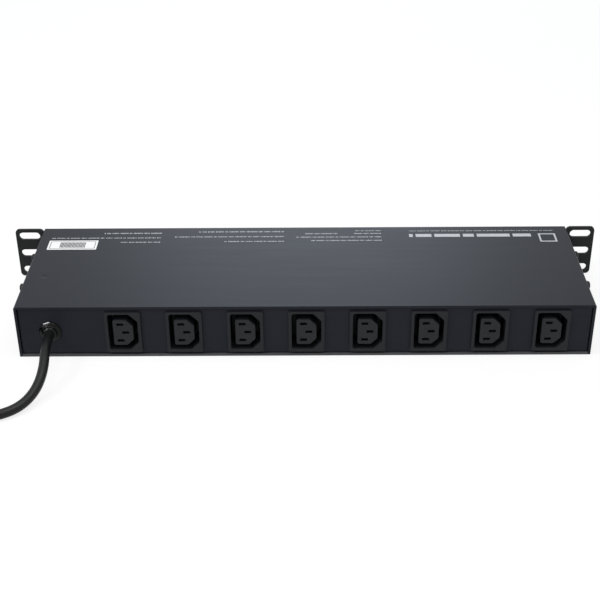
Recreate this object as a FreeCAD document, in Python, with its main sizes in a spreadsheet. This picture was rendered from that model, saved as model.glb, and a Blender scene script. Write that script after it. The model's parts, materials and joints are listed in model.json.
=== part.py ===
import FreeCAD, Part
import math
import os

import Sketcher
from FreeCAD import Placement, Rotation, Vector

# Rack power strip, one rack unit high: a folded sheet-steel case with two rack ears, eight
# appliance outlets in a row on its rear face, brass bus rails behind them, and a mains cord
# that comes in through a strain relief. The front carries the main switch, a resettable
# circuit breaker and a meter.
#
# Frame: millimetres. +Z is up and the case stands on Z = 0. The front, with the ears, faces
# -Y and the outlets face +Y. X = 0 is the middle of the rack width, and Y = 0 is halfway
# between the foremost and the rearmost point of the strip.

os.makedirs("parts", exist_ok=True)
doc = FreeCAD.newDocument("RackPowerStrip")

SIZES = {
    # rack standard and case
    "rackWidth": 482.6,
    "bodyWidth": 434.5,
    "bodyHeight": 43.8,
    "depth": 126.8,
    "coverSheet": 2.0,
    "coverBend": 1.6,
    "baseSheet": 2.0,
    "sheetGap": 0.1,
    # rack ears
    "earHeight": 44.0,
    "earSheet": 2.0,
    "earCorner": 3.5,
    "earNeckTop": 40.0,
    "earLegLength": 102.0,
    "earFoot": 14.0,
    "rackHolePitch": 15.875,
    "slotLength": 17.3,
    "slotWidth": 6.6,
    "slotMargin": 2.9,
    # folded panels at the two ends
    "panelSheet": 1.5,
    "panelFlange": 12.0,
    "panelRecess": 1.0,
    "panelBend": 1.1,
    # cover screws and rivets
    "screwHeight": 37.5,
    "screwRear": 40.0,
    "screwFront": 88.0,
    "screwHead": 6.8,
    "screwHeadHeight": 3.4,
    "screwShank": 3.9,
    "screwLength": 8.0,
    "clinchNut": 7.0,
    "clinchNutHeight": 3.0,
    "rivetShank": 3.0,
    "rivetHead": 5.6,
    "rivetHeadHeight": 1.2,
    "holeClearance": 0.1,
    "dimpleInset": 14.85,
    "dimpleRear": 46.7,
    "dimpleRadius": 24.0,
    "dimpleDepth": 0.35,
    # outlets
    "outletCount": 8,
    "outletPitch": 46.0,
    "firstOutlet": 136.5,
    "outletHeight": 21.7,
    "bezelWidth": 27.0,
    "bezelHeight": 35.0,
    "bezelThick": 2.0,
    "bezelCorner": 1.2,
    "sleeveWidth": 24.4,
    "sleeveHeight": 34.0,
    "sleeveFit": 0.15,
    "wellWidth": 22.4,
    "wellHeight": 31.0,
    "wellRise": 0.5,
    "wellChamfer": 6.3,
    "wellCorner": 2.0,
    "wellDepth": 17.0,
    "coreWidth": 15.0,
    "coreHeight": 21.7,
    "coreChamfer": 5.0,
    "coreCorner": 1.6,
    "coreProud": 1.8,
    "coreFloor": 3.0,
    "coreFit": 0.1,
    "pinSlotWidth": 5.2,
    "pinSlotHeight": 2.3,
    "liveOffset": 2.2,
    "liveSpacing": 7.0,
    "earthOffset": -1.8,
    "latchProud": 0.8,
    "latchLength": 4.5,
    "latchHeight": 8.0,
    # bus rails
    "railSheet": 0.8,
    "railWidth": 6.0,
    "railGap": 0.3,
    "railEnd": 17.0,
    "clipWidth": 4.8,
    "clipThick": 2.1,
    "clipGap": 1.3,
    "clipLength": 17.0,
    "clipDepth": 13.0,
    # cord entry
    "cordDiameter": 7.4,
    "cordEntry": 191.7,
    "cordHeight": 22.0,
    "rearProud": 4.0,
    "reliefFlange": 17.0,
    "reliefNose": 11.4,
    "reliefRim": 1.8,
    "reliefNeck": 15.4,
    "reliefInside": 9.0,
    "boreFit": 0.05,
    "tailInside": 32.0,
    # main switch
    "frontProud": 6.0,
    "switchPlace": 178.0,
    "switchHeight": 22.0,
    "switchWidth": 22.0,
    "switchTall": 30.0,
    "switchDepth": 26.0,
    "switchBezel": 1.5,
    "switchRim": 1.6,
    "switchWall": 2.0,
    "rockerTilt": 12.0,
    "rockerGap": 0.4,
    "rockerDish": 1.2,
    "rockerPivot": 4.0,
    "trunnion": 3.0,
    "trunnionFit": 0.05,
    "tabWidth": 6.3,
    "tabSheet": 0.8,
    "tabLength": 9.0,
    "tabSpacing": 11.0,
    # circuit breaker
    "breakerPlace": 142.0,
    "breakerNeck": 10.0,
    "breakerNeckProud": 3.2,
    "breakerNut": 15.0,
    "breakerNutHeight": 2.4,
    "breakerBodyWidth": 14.0,
    "breakerBodyHeight": 30.0,
    "breakerBodyDepth": 30.0,
    "breakerButton": 6.6,
    "breakerButtonFit": 0.08,
    "breakerTravel": 5.0,
    # meter
    "meterPlace": 20.0,
    "windowWidth": 90.0,
    "windowHeight": 20.0,
    "windowFit": 0.15,
    "windowLip": 3.5,
    "windowLipSheet": 1.5,
    "digitsWidth": 34.0,
    "digitsHeight": 14.0,
    "digitsDepth": 7.0,
    "digitsSpacing": 42.0,
    "boardWidth": 116.0,
    "boardHeight": 30.0,
    "boardSheet": 1.6,
    "standoffAcross": 106.0,
    "standoffUp": 20.0,
    "standoffDiameter": 6.0,
    # label on the cover
    "labelWidth": 40.0,
    "labelDepth": 15.3,
    "labelSheet": 0.15,
    "labelPlace": 188.6,
    "labelRear": 97.6,
    # earth stud
    "studPlace": 192.0,
    "studDepth": -8.0,
    "studDiameter": 4.0,
    "studLength": 11.0,
    "studCollar": 1.4,
    "ringSheet": 0.8,
    "ringTongue": 10.0,
    "nutAcross": 7.0,
    "nutHeight": 3.2,
}

sheet = doc.addObject("Spreadsheet::Sheet", "Sizes")
for row, (alias, number) in enumerate(SIZES.items(), 1):
    sheet.set(f"A{row}", alias)
    sheet.set(f"B{row}", str(number))
    sheet.setAlias(f"B{row}", alias)
doc.recompute()


class Size:
    """A length, with the spreadsheet expression that gives it."""

    def __init__(self, number, text):
        self.number = number
        self.text = text

    def joined(self, other, sign, number):
        other = size(other)
        return Size(number(self.number, other.number), f"({self.text} {sign} {other.text})")

    def __add__(self, other):
        return self.joined(other, "+", lambda a, b: a + b)

    def __sub__(self, other):
        return self.joined(other, "-", lambda a, b: a - b)

    def __mul__(self, other):
        return self.joined(other, "*", lambda a, b: a * b)

    def __truediv__(self, other):
        return self.joined(other, "/", lambda a, b: a / b)

    def __neg__(self):
        return Size(-self.number, f"(0 - {self.text})")

    def __radd__(self, other):
        return size(other) + self

    def __rsub__(self, other):
        return size(other) - self


def size(value):
    return value if isinstance(value, Size) else Size(value, str(value))


class Sheet:
    """Reads a driving dimension from the spreadsheet by its alias."""

    def __getattr__(self, alias):
        return Size(float(sheet.get(alias)), f"Sizes.{alias}")


of = Sheet()

# Places that many pieces share.
rear = (of.depth + of.frontProud - of.rearProud) / 2
front = rear - of.depth
panelFace = rear - of.panelRecess
halfBody = of.bodyWidth / 2
halfInside = halfBody - of.coverSheet - of.sheetGap
legInside = halfInside - of.earSheet
floorTop = of.baseSheet
roof = of.bodyHeight - of.coverSheet - of.sheetGap
frontWall = front + of.panelSheet
coreBack = of.wellDepth + of.coreFloor
railFront = panelFace - coreBack - of.railGap


# ---------------------------------------------------------------- modelling helpers


def newBody(label):
    body = doc.addObject("PartDesign::Body", label)
    body.Label = label
    return body


def bind(thing, prop, value):
    thing.setExpression(prop, size(value).text)


def newSketch(body, name, role, offset=0):
    """A sketch parallel to one of the body's own origin planes, offset along its normal."""
    sketch = body.newObject("Sketcher::SketchObject", name)
    plane = next(f for f in body.Origin.OriginFeatures if f.Role == role)
    sketch.AttachmentSupport = [(plane, "")]
    sketch.MapMode = "FlatFace"
    bind(sketch, "AttachmentOffset.Base.z", offset)
    return sketch


def hold(sketch, geometry, end, x, y):
    """Holds one point of the sketch at distances from its origin, bound to the spreadsheet."""
    for kind, value in (("DistanceX", size(x)), ("DistanceY", size(y))):
        index = sketch.addConstraint(
            Sketcher.Constraint(kind, -1, 1, geometry, end, value.number)
        )
        sketch.setExpression(f"Constraints[{index}]", value.text)


def polygon(sketch, points):
    """A closed outline of straight edges, with every corner held."""
    first = sketch.GeometryCount
    count = len(points)
    for i, (x, y) in enumerate(points):
        nextX, nextY = points[(i + 1) % count]
        start = Vector(size(x).number, size(y).number, 0)
        end = Vector(size(nextX).number, size(nextY).number, 0)
        sketch.addGeometry(Part.LineSegment(start, end), False)
    for i in range(count):
        following = first + (i + 1) % count
        sketch.addConstraint(Sketcher.Constraint("Coincident", first + i, 2, following, 1))
    for i, (x, y) in enumerate(points):
        hold(sketch, first + i, 1, x, y)


def rectangle(sketch, left, right, low, high):
    polygon(sketch, [(left, low), (right, low), (right, high), (left, high)])


def centred(sketch, width, height, x=0, y=0):
    """A rectangle about a centre."""
    w, h = size(width) / 2, size(height) / 2
    rectangle(sketch, x - w, x + w, y - h, y + h)


def circle(sketch, x, y, diameter):
    radius = size(diameter) / 2
    centre = Vector(size(x).number, size(y).number, 0)
    geometry = sketch.addGeometry(Part.Circle(centre, Vector(0, 0, 1), radius.number), False)
    index = sketch.addConstraint(Sketcher.Constraint("Radius", geometry, radius.number))
    sketch.setExpression(f"Constraints[{index}]", radius.text)
    hold(sketch, geometry, 3, x, y)


def slot(sketch, x, y, length, width):
    """A slot with round ends that runs along the sketch's first axis."""
    radius = size(width) / 2
    reach = size(length) / 2 - radius
    left, right = size(x) - reach, size(x) + reach
    y = size(y)
    up = Vector(0, 0, 1)
    r = radius.number
    ends = []
    for middle, begin in ((left, math.pi / 2), (right, -math.pi / 2)):
        round_ = Part.Circle(Vector(middle.number, y.number, 0), up, r)
        arc = Part.ArcOfCircle(round_, begin, begin + math.pi)
        ends.append(sketch.addGeometry(arc, False))
    sides = []
    for side in (-r, r):
        start = Vector(left.number, y.number + side, 0)
        end = Vector(right.number, y.number + side, 0)
        sides.append(sketch.addGeometry(Part.LineSegment(start, end), False))
    joins = [(ends[0], 2, sides[0], 1), (sides[0], 2, ends[1], 1)]
    joins += [(ends[1], 2, sides[1], 2), (sides[1], 1, ends[0], 1)]
    for join in joins:
        sketch.addConstraint(Sketcher.Constraint("Tangent", *join))
    hold(sketch, ends[0], 3, left, y)
    hold(sketch, ends[1], 3, right, y)
    index = sketch.addConstraint(Sketcher.Constraint("Radius", ends[0], r))
    sketch.setExpression(f"Constraints[{index}]", radius.text)


def finish(body, feature):
    """Makes the feature the body's tip, computes it and stops if it failed."""
    body.Tip = feature
    doc.recompute()
    if "Invalid" in feature.State or "Touched" in feature.State:
        raise ValueError(f"{body.Label}: {feature.Name} failed")
    return feature


def pad(body, name, sketch, length, back=False, both=False):
    """Adds the sketch's outline as a prism: along its normal, against it, or half each way."""
    feature = body.newObject("PartDesign::Pad", name)
    feature.Profile = sketch
    bind(feature, "Length", length)
    feature.Reversed = back
    feature.Midplane = both
    return finish(body, feature)


def cut(body, name, sketch, length, back=False, both=False):
    """Cuts the outline out, the same way as pad() goes, and stops if nothing was taken away."""
    before = body.Shape.Volume
    feature = body.newObject("PartDesign::Pocket", name)
    feature.Profile = sketch
    bind(feature, "Length", length)
    feature.Reversed = not back
    feature.Midplane = both
    finish(body, feature)
    if body.Shape.Volume > before - 1e-3:
        raise ValueError(f"{body.Label}: {name} cuts nothing")
    return feature


def repeatAlongX(body, name, features, step, count):
    """Repeats features at equal steps towards -X."""
    pattern = body.newObject("PartDesign::LinearPattern", name)
    pattern.Originals = features
    axis = next(f for f in body.Origin.OriginFeatures if f.Role == "X_Axis")
    pattern.Direction = (axis, [""])
    pattern.Reversed = True
    bind(pattern, "Length", step * (count - 1))
    bind(pattern, "Occurrences", count)
    return finish(body, pattern)


def edgesWhere(shape, wanted):
    """Names of the edges whose middle point and direction pass the test."""
    names = []
    for i, edge in enumerate(shape.Edges, 1):
        middle = edge.valueAt((edge.FirstParameter + edge.LastParameter) / 2)
        along = edge.tangentAt((edge.FirstParameter + edge.LastParameter) / 2)
        if wanted(middle, along):
            names.append(f"Edge{i}")
    return names


def roundOff(body, name, radius, wanted, kind="PartDesign::Fillet"):
    """Rounds, or with kind Chamfer bevels, the edges of the body that pass the test."""
    base = body.Tip
    names = edgesWhere(base.Shape, wanted)
    if not names:
        raise ValueError(f"{body.Label}: {name} finds no edge")
    feature = body.newObject(kind, name)
    feature.Base = (base, names)
    bind(feature, "Radius" if kind.endswith("Fillet") else "Size", radius)
    return finish(body, feature)


def near(a, b):
    return abs(a - size(b).number) < 1e-3


def alongY(direction):
    return abs(direction.y) > 0.99


def plainShape(label, shape):
    """A sub-part made with Part's own functions."""
    feature = doc.addObject("Part::Feature", label)
    feature.Shape = shape
    feature.Label = label
    return feature


def turned(profile, place, axis):
    """A solid of revolution: the profile is (radius, distance along the axis) pairs."""
    points = [Vector(r, 0, h) for r, h in profile]
    face = Part.Face(Part.makePolygon(points + points[:1]))
    solid = face.revolve(Vector(0, 0, 0), Vector(0, 0, 1), 360)
    solid.Placement = Placement(place, Rotation(Vector(0, 0, 1), axis))
    return solid


# ---------------------------------------------------------------- case


def screwPlaces():
    """Y of the two cover screws on each side."""
    return [rear - of.screwRear, rear - of.screwFront]


def footRivets():
    """Y of the two rivets that hold each ear's foot to the base."""
    return [front + of.earLegLength * 0.25, front + of.earLegLength * 0.75]


def panelRivets():
    """X of the rivets along each end panel's lower flange."""
    return [-halfBody * 0.8, -halfBody * 0.3, halfBody * 0.25, halfBody * 0.75]


def rivetPlaces():
    """(X, Y, thickness of the sheet above the base) of every rivet through the base."""
    places = []
    for x in panelRivets():
        places.append((x, panelFace - of.panelFlange * 0.55, of.panelSheet))
        places.append((x, front + of.panelFlange * 0.55, of.panelSheet))
    for y in footRivets():
        for side in (-1, 1):
            places.append(((legInside - of.earFoot * 0.5) * side, y, of.earSheet))
    return places


def makeTopCover():
    """The top and both side walls, folded from one sheet."""
    body = newBody("top_cover")
    height, wall = of.bodyHeight, of.coverSheet
    inner = halfBody - wall
    outline = [(-halfBody, 0), (-halfBody, height), (halfBody, height), (halfBody, 0)]
    outline += [(inner, 0), (inner, height - wall), (-inner, height - wall), (-inner, 0)]
    profile = newSketch(body, "CoverProfile", "XZ_Plane", -rear)
    polygon(profile, outline)
    pad(body, "CoverSheet", profile, of.depth)
    roundOff(
        body,
        "CoverBends",
        of.coverBend,
        lambda p, d: alongY(d) and near(p.z, height) and near(abs(p.x), halfBody),
    )

    # The side walls stop behind the ears, which pass in front of them.
    relief = newSketch(body, "EarRelief", "YZ_Plane")
    neckTop = of.earNeckTop + of.sheetGap * 2
    rectangle(relief, front - 1, front + of.earSheet + of.sheetGap, -1, neckTop)
    cut(body, "EarReliefCut", relief, of.bodyWidth + 2, both=True)

    holes = newSketch(body, "ScrewHoles", "YZ_Plane")
    for y in screwPlaces():
        circle(holes, y, of.screwHeight, of.screwShank + of.holeClearance * 2)
    cut(body, "ScrewHolesCut", holes, of.bodyWidth + 2, both=True)

    dimple = body.newObject("PartDesign::SubtractiveSphere", "Dimple")
    bind(dimple, "Radius", of.dimpleRadius)
    bind(dimple, "Placement.Base.x", halfBody - of.dimpleInset)
    bind(dimple, "Placement.Base.y", rear - of.dimpleRear)
    bind(dimple, "Placement.Base.z", height + of.dimpleRadius - of.dimpleDepth)
    doc.recompute()
    return body


def makeBasePlate():
    """The flat bottom plate between the cover's side walls."""
    body = newBody("base_plate")
    outline = newSketch(body, "BaseOutline", "XY_Plane")
    rectangle(outline, -halfInside, halfInside, front, rear)
    pad(body, "BaseSheet", outline, of.baseSheet)
    holes = newSketch(body, "RivetHoles", "XY_Plane")
    for x, y, _ in rivetPlaces():
        circle(holes, x, y, of.rivetShank + of.holeClearance)
    circle(holes, of.studPlace, of.studDepth, of.studDiameter)
    cut(body, "RivetHolesCut", holes, of.baseSheet)
    return body


def foldedPanel(label, face, inward, halfWidth):
    """A panel with all four edges folded into the case. inward is +1 for the front panel."""
    body = newBody(label)
    low, high = floorTop, roof
    outline = newSketch(body, "PanelOutline", "XZ_Plane", -face)
    rectangle(outline, -halfWidth, halfWidth, low, high)
    pad(body, "PanelBlock", outline, of.panelFlange, back=inward > 0)
    faceY = face.number
    roundOff(
        body,
        "PanelBends",
        of.panelBend,
        lambda p, d: near(p.y, faceY) and not alongY(d),
    )
    mouth = face + of.panelFlange * inward
    hollow = newSketch(body, "PanelHollow", "XZ_Plane", -mouth)
    t = of.panelSheet
    rectangle(hollow, t - halfWidth, halfWidth - t, low + t, high - t)
    cut(body, "PanelHollowCut", hollow, of.panelFlange - t, back=inward < 0)
    holes = newSketch(body, "FlangeRivetHoles", "XY_Plane", floorTop - 1)
    for x in panelRivets():
        circle(holes, x, face + of.panelFlange * 0.55 * inward, of.rivetShank + of.holeClearance)
    cut(body, "FlangeRivetHolesCut", holes, of.panelSheet + 1.5)
    return body


def makeRearPanel():
    """The panel that carries the outlets and the cord's strain relief."""
    body = foldedPanel("rear_panel", panelFace, -1, halfInside)
    window = newSketch(body, "OutletWindow", "XZ_Plane", -panelFace - 1)
    fit = of.sleeveFit * 2
    centred(window, of.sleeveWidth + fit, of.sleeveHeight + fit, of.firstOutlet, of.outletHeight)
    opening = cut(body, "OutletWindowCut", window, of.panelSheet + 2)
    repeatAlongX(body, "OutletWindows", [opening], of.outletPitch, of.outletCount)
    entry = newSketch(body, "CordHole", "XZ_Plane", -panelFace - 1)
    circle(entry, of.cordEntry, of.cordHeight, of.reliefNeck + of.sleeveFit * 2)
    cut(body, "CordHoleCut", entry, of.panelSheet + 2)
    return body


def makeFrontPanel():
    """The panel between the ears, with openings for switch, breaker and meter."""
    body = foldedPanel("front_panel", front, 1, legInside - of.sheetGap)
    openings = newSketch(body, "FrontOpenings", "XZ_Plane", -front + 1)
    fit = of.sleeveFit * 2
    centred(
        openings, of.switchWidth + fit, of.switchTall + fit, of.switchPlace, of.switchHeight
    )
    centred(openings, of.windowWidth, of.windowHeight, of.meterPlace, of.switchHeight)
    circle(openings, of.breakerPlace, of.switchHeight, of.breakerNeck + fit)
    cut(body, "FrontOpeningsCut", openings, of.panelSheet + 2, back=True)
    return body


def makeEar(label, side):
    """A rack ear: slotted plate, leg along the side wall, and foot on the base."""
    body = newBody(label)
    sheetY = front + of.earSheet
    outer, neck, leg = of.rackWidth / 2, halfBody + 0.3, halfInside
    low, top = floorTop + of.sheetGap, of.earNeckTop
    plate = newSketch(body, "EarPlate", "XZ_Plane", -front)
    outline = [(legInside, low), (neck, low), (neck, 0), (outer, 0)]
    outline += [(outer, of.earHeight), (neck, of.earHeight), (neck, top), (legInside, top)]
    polygon(plate, [(x * side, z) for x, z in outline])
    pad(body, "EarPlateSheet", plate, of.earSheet, back=True)
    roundOff(
        body,
        "EarCorners",
        of.earCorner,
        lambda p, d: alongY(d)
        and (near(abs(p.x), outer) or near(p.z, of.earHeight))
        and (near(p.z, 0) or near(p.z, of.earHeight)),
    )
    slots = newSketch(body, "RackSlots", "XZ_Plane", -front + 1)
    middle = (outer - of.slotMargin - of.slotLength / 2) * side
    for step in (-1, 0, 1):
        height = of.earHeight / 2 + of.rackHolePitch * step
        slot(slots, middle, height, of.slotLength, of.slotWidth)
    cut(body, "RackSlotsCut", slots, of.earSheet + 2, back=True)

    wall = newSketch(body, "EarLeg", "YZ_Plane", legInside * side)
    rectangle(wall, front, front + of.earLegLength, low, top)
    pad(body, "EarLegSheet", wall, of.earSheet, back=side < 0)
    foot = newSketch(body, "EarFoot", "XY_Plane", low)
    inner = legInside - of.earFoot
    ends = (sheetY + of.panelFlange, front + of.earLegLength)
    polygon(
        foot,
        [
            (inner * side, ends[0]),
            (leg * side, ends[0]),
            (leg * side, ends[1]),
            (inner * side, ends[1]),
        ],
    )
    pad(body, "EarFootSheet", foot, of.earSheet)
    rivets = newSketch(body, "FootRivetHoles", "XY_Plane", low - 1)
    for y in footRivets():
        circle(rivets, (legInside - of.earFoot * 0.5) * side, y, of.rivetShank + of.holeClearance)
    cut(body, "FootRivetHolesCut", rivets, of.earSheet + 2)
    screws = newSketch(body, "LegScrewHoles", "YZ_Plane", (legInside - 1) * side)
    for y in screwPlaces():
        circle(screws, y, of.screwHeight, of.screwShank + of.holeClearance * 2)
    cut(body, "LegScrewHolesCut", screws, of.earSheet + 2, back=side < 0)
    return body


def makeCoverScrews():
    """Pan-head screws through the side walls into nuts clinched on the ears' legs."""
    head, shank = of.screwHead.number / 2, of.screwShank.number / 2
    high, long = of.screwHeadHeight.number, of.screwLength.number
    profile = [(0, high), (head * 0.5, high * 0.94), (head * 0.85, high * 0.66), (head, high * 0.2)]
    profile += [(head, 0), (shank, 0), (shank, -long + 0.6), (shank - 0.6, -long), (0, -long)]
    solids = []
    for side in (-1, 1):
        for y in screwPlaces():
            place = Vector(side * halfBody.number, y.number, of.screwHeight.number)
            solids.append(turned(profile, place, Vector(side, 0, 0)))
    return plainShape("cover_screws", Part.makeCompound(solids))


def makeClinchNuts():
    """Round nuts pressed into the ears' legs behind each cover screw."""
    outer = of.clinchNut.number / 2
    bore = of.screwShank.number / 2 + of.boreFit.number
    high = of.clinchNutHeight.number
    profile = [(bore, 0), (outer, 0), (outer, high - 0.4), (outer - 0.4, high), (bore, high)]
    solids = []
    for side in (-1, 1):
        for y in screwPlaces():
            place = Vector(side * legInside.number, y.number, of.screwHeight.number)
            solids.append(turned(profile, place, Vector(-side, 0, 0)))
    return plainShape("clinch_nuts", Part.makeCompound(solids))


def makeRivets():
    """Flush rivets up through the base, headed over the panels' flanges and the ears' feet."""
    shank, head = of.rivetShank.number / 2, of.rivetHead.number / 2
    solids = []
    for x, y, above in rivetPlaces():
        seat = (of.baseSheet + above).number
        if above.text == of.earSheet.text:
            seat += of.sheetGap.number
        top = seat + of.rivetHeadHeight.number
        profile = [(0, 0.1), (shank, 0.1), (shank, seat), (head, seat)]
        profile += [(head, seat + 0.5), (head * 0.6, top), (0, top)]
        solids.append(turned(profile, Vector(x.number, y.number, 0), Vector(0, 0, 1)))
    return plainShape("base_rivets", Part.makeCompound(solids))


def makeLabel():
    """A small adhesive label on the cover, near the cord's side."""
    label = doc.addObject("Part::Box", "serial_label")
    label.Label = "serial_label"
    bind(label, "Length", of.labelWidth)
    bind(label, "Width", of.labelDepth)
    bind(label, "Height", of.labelSheet)
    bind(label, "Placement.Base.x", of.labelPlace - of.labelWidth / 2)
    bind(label, "Placement.Base.y", rear - of.labelRear - of.labelDepth / 2)
    bind(label, "Placement.Base.z", of.bodyHeight)
    return label


# ---------------------------------------------------------------- outlets


def outletX(index):
    return of.firstOutlet - of.outletPitch * index


def keyed(width, height, chamfer, rise=0):
    """The outlet's outline: a rectangle with its two corners on the earth side cut off."""
    w, top, bottom = size(width) / 2, size(height) / 2 + rise, size(height) / 2 - rise
    points = [(w, -bottom), (w, top), (chamfer - w, top), (-w, top - chamfer)]
    return points + [(-w, chamfer - bottom), (chamfer - w, -bottom)]


def placeOutlet(body, index):
    bind(body, "Placement.Base.x", outletX(index))
    bind(body, "Placement.Base.y", panelFace)
    bind(body, "Placement.Base.z", of.outletHeight)


def makeOutletHousing(index):
    """Bezel and sleeve with the well that takes a plug's shroud, and two snap latches."""
    body = newBody(f"outlet_housing_{index + 1}")
    sleeve = newSketch(body, "Sleeve", "XZ_Plane")
    centred(sleeve, of.sleeveWidth, of.sleeveHeight)
    pad(body, "SleeveBlock", sleeve, coreBack)
    bezel = newSketch(body, "Bezel", "XZ_Plane")
    centred(bezel, of.bezelWidth, of.bezelHeight)
    pad(body, "BezelPlate", bezel, of.bezelThick, back=True)
    halfWidth = of.bezelWidth / 2
    roundOff(
        body, "BezelCorners", of.bezelCorner, lambda p, d: alongY(d) and near(abs(p.x), halfWidth)
    )
    well = newSketch(body, "Well", "XZ_Plane", -of.bezelThick - 1)
    polygon(well, keyed(of.wellWidth, of.wellHeight, of.wellChamfer, of.wellRise))
    cut(body, "WellCut", well, of.bezelThick + coreBack + 2)
    inSleeve = (of.wellWidth / 2).number + 0.01
    roundOff(
        body, "WellCorners", of.wellCorner, lambda p, d: alongY(d) and abs(p.x) < inSleeve
    )
    latches = newSketch(body, "Latches", "XY_Plane")
    wall = of.sleeveWidth / 2
    behind = -of.panelSheet - of.sheetGap
    for side in (-1, 1):
        hook = [(wall * side, behind), ((wall + of.latchProud) * side, behind)]
        polygon(latches, hook + [(wall * side, behind - of.latchLength)])
    pad(body, "LatchHooks", latches, of.latchHeight, both=True)
    placeOutlet(body, index)
    return body


def makeOutletCore(index):
    """The insulating island with its contact slots, on the floor that closes the well."""
    body = newBody(f"outlet_core_{index + 1}")
    fit = of.coreFit * 2
    base = newSketch(body, "CoreFloor", "XZ_Plane", of.wellDepth)
    floor = keyed(of.wellWidth - fit, of.wellHeight - fit, of.wellChamfer, of.wellRise)
    polygon(base, floor)
    pad(body, "CoreFloorPlate", base, of.coreFloor)
    roundOff(body, "FloorCorners", of.wellCorner, lambda p, d: alongY(d))
    island = newSketch(body, "Island", "XZ_Plane", of.wellDepth)
    polygon(island, keyed(of.coreWidth, of.coreHeight, of.coreChamfer))
    pad(body, "IslandBlock", island, of.wellDepth + of.coreProud, back=True)
    floorFront = -of.wellDepth.number
    roundOff(
        body, "IslandCorners", of.coreCorner, lambda p, d: alongY(d) and p.y > floorFront
    )
    slots = newSketch(body, "PinSlots", "XZ_Plane", -of.coreProud - 1)
    for x, z in pinPlaces():
        centred(slots, of.pinSlotWidth, of.pinSlotHeight, x, z)
    cut(body, "PinSlotsCut", slots, of.coreProud + coreBack + 2)
    placeOutlet(body, index)
    return body


def pinPlaces():
    """(X, Z) of the line, neutral and earth slots about an outlet's centre."""
    return [
        (of.liveOffset, of.liveSpacing),
        (of.liveOffset, -of.liveSpacing),
        (of.earthOffset, size(0)),
    ]


def makeBusRail(label, offset, height):
    """A brass strip behind the outlets with a split clip that enters each of them."""
    body = newBody(label)
    level = of.outletHeight + height
    strip = newSketch(body, "RailStrip", "XY_Plane", level)
    rectangle(
        strip,
        outletX(of.outletCount - 1) - of.railEnd,
        of.firstOutlet + of.railEnd,
        railFront - of.railWidth,
        railFront,
    )
    pad(body, "RailSheet", strip, of.railSheet, both=True)
    clip = newSketch(body, "Clip", "XY_Plane", level)
    x = of.firstOutlet + offset
    half = of.clipWidth / 2
    rectangle(clip, x - half, x + half, railFront - 1, railFront + of.clipLength)
    block = pad(body, "ClipBlock", clip, of.clipThick, both=True)
    gap = newSketch(body, "ClipGap", "XY_Plane", level)
    tip = railFront + of.clipLength
    rectangle(gap, x - half - 1, x + half + 1, tip - of.clipDepth, tip + 1)
    opening = cut(body, "ClipGapCut", gap, of.clipGap, both=True)
    repeatAlongX(body, "Clips", [block, opening], of.outletPitch, of.outletCount)
    return body


# ---------------------------------------------------------------- cord and its entry


def makeStrainRelief():
    """The bushing that grips the cord in the rear panel."""
    bore = of.cordDiameter.number / 2 + of.boreFit.number
    flange, nose = of.reliefFlange.number / 2, of.reliefNose.number / 2
    neck = of.reliefNeck.number / 2
    rim, out = of.reliefRim.number, (of.rearProud + of.panelRecess).number
    behind = of.panelSheet.number
    inside = of.reliefInside.number
    profile = [(bore, out), (nose - 0.6, out), (nose, out - 0.6), (nose, out - 1.2)]
    profile += [(flange, rim), (flange, 0), (neck, 0), (neck, -behind - 0.1)]
    profile += [(neck + 0.8, -behind - 0.1), (neck - 1.4, -inside), (bore, -inside)]
    place = Vector(of.cordEntry.number, panelFace.number, of.cordHeight.number)
    return plainShape("strain_relief", turned(profile, place, Vector(0, 1, 0)))


def makeCordTail():
    """The cord's sheath from the bushing's face to where its cores part inside the case."""
    tail = doc.addObject("Part::Cylinder", "cord_tail")
    tail.Label = "cord_tail"
    bind(tail, "Radius", of.cordDiameter / 2)
    bind(tail, "Height", of.rearProud + of.tailInside)
    tail.Placement = Placement(Vector(0, 0, 0), Rotation(Vector(1, 0, 0), 90))
    bind(tail, "Placement.Base.x", of.cordEntry)
    bind(tail, "Placement.Base.y", rear + of.rearProud)
    bind(tail, "Placement.Base.z", of.cordHeight)
    return tail


def tubePath(points):
    """Straight runs joined by tangent arcs: the edges, their length and the arcs' radii."""
    points = [Vector(*p) for p in points]
    edges, radii = [], []
    at = points[0]
    for before, corner, after in zip(points, points[1:], points[2:]):
        inward, outward = corner - before, after - corner
        turn = inward.getAngle(outward)
        shorter = min(inward.Length, outward.Length)
        radius = 0.45 * shorter / math.tan(turn / 2)
        inward.normalize()
        outward.normalize()
        start = corner - inward * (0.45 * shorter)
        end = corner + outward * (0.45 * shorter)
        toCentre = outward - inward
        toCentre.normalize()
        middle = corner + toCentre * (radius / math.cos(turn / 2) - radius)
        edges.append(Part.LineSegment(at, start).toShape())
        edges.append(Part.Arc(start, middle, end).toShape())
        radii.append(radius)
        at = end
    edges.append(Part.LineSegment(at, points[-1]).toShape())
    return edges, sum(edge.Length for edge in edges), radii


def tube(name, points, diameter):
    """A round tube along the path, compared with its section times its length."""
    edges, length, radii = tubePath(points)
    start = Vector(*points[0])
    along = Vector(*points[1]) - start
    ring = Part.Wire(Part.makeCircle(diameter / 2, start, along))
    solid = Part.Wire(edges).makePipeShell([ring], True, True)
    expected = math.pi * diameter**2 / 4 * length
    share = solid.Volume / expected
    print(f"{name}: {length:.1f} long, volume share {share:.4f}, radii", [round(r) for r in radii])
    if abs(share - 1) > 0.01:
        raise ValueError(f"{name}: volume is {solid.Volume:.1f}, expected {expected:.1f}")
    return solid


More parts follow.
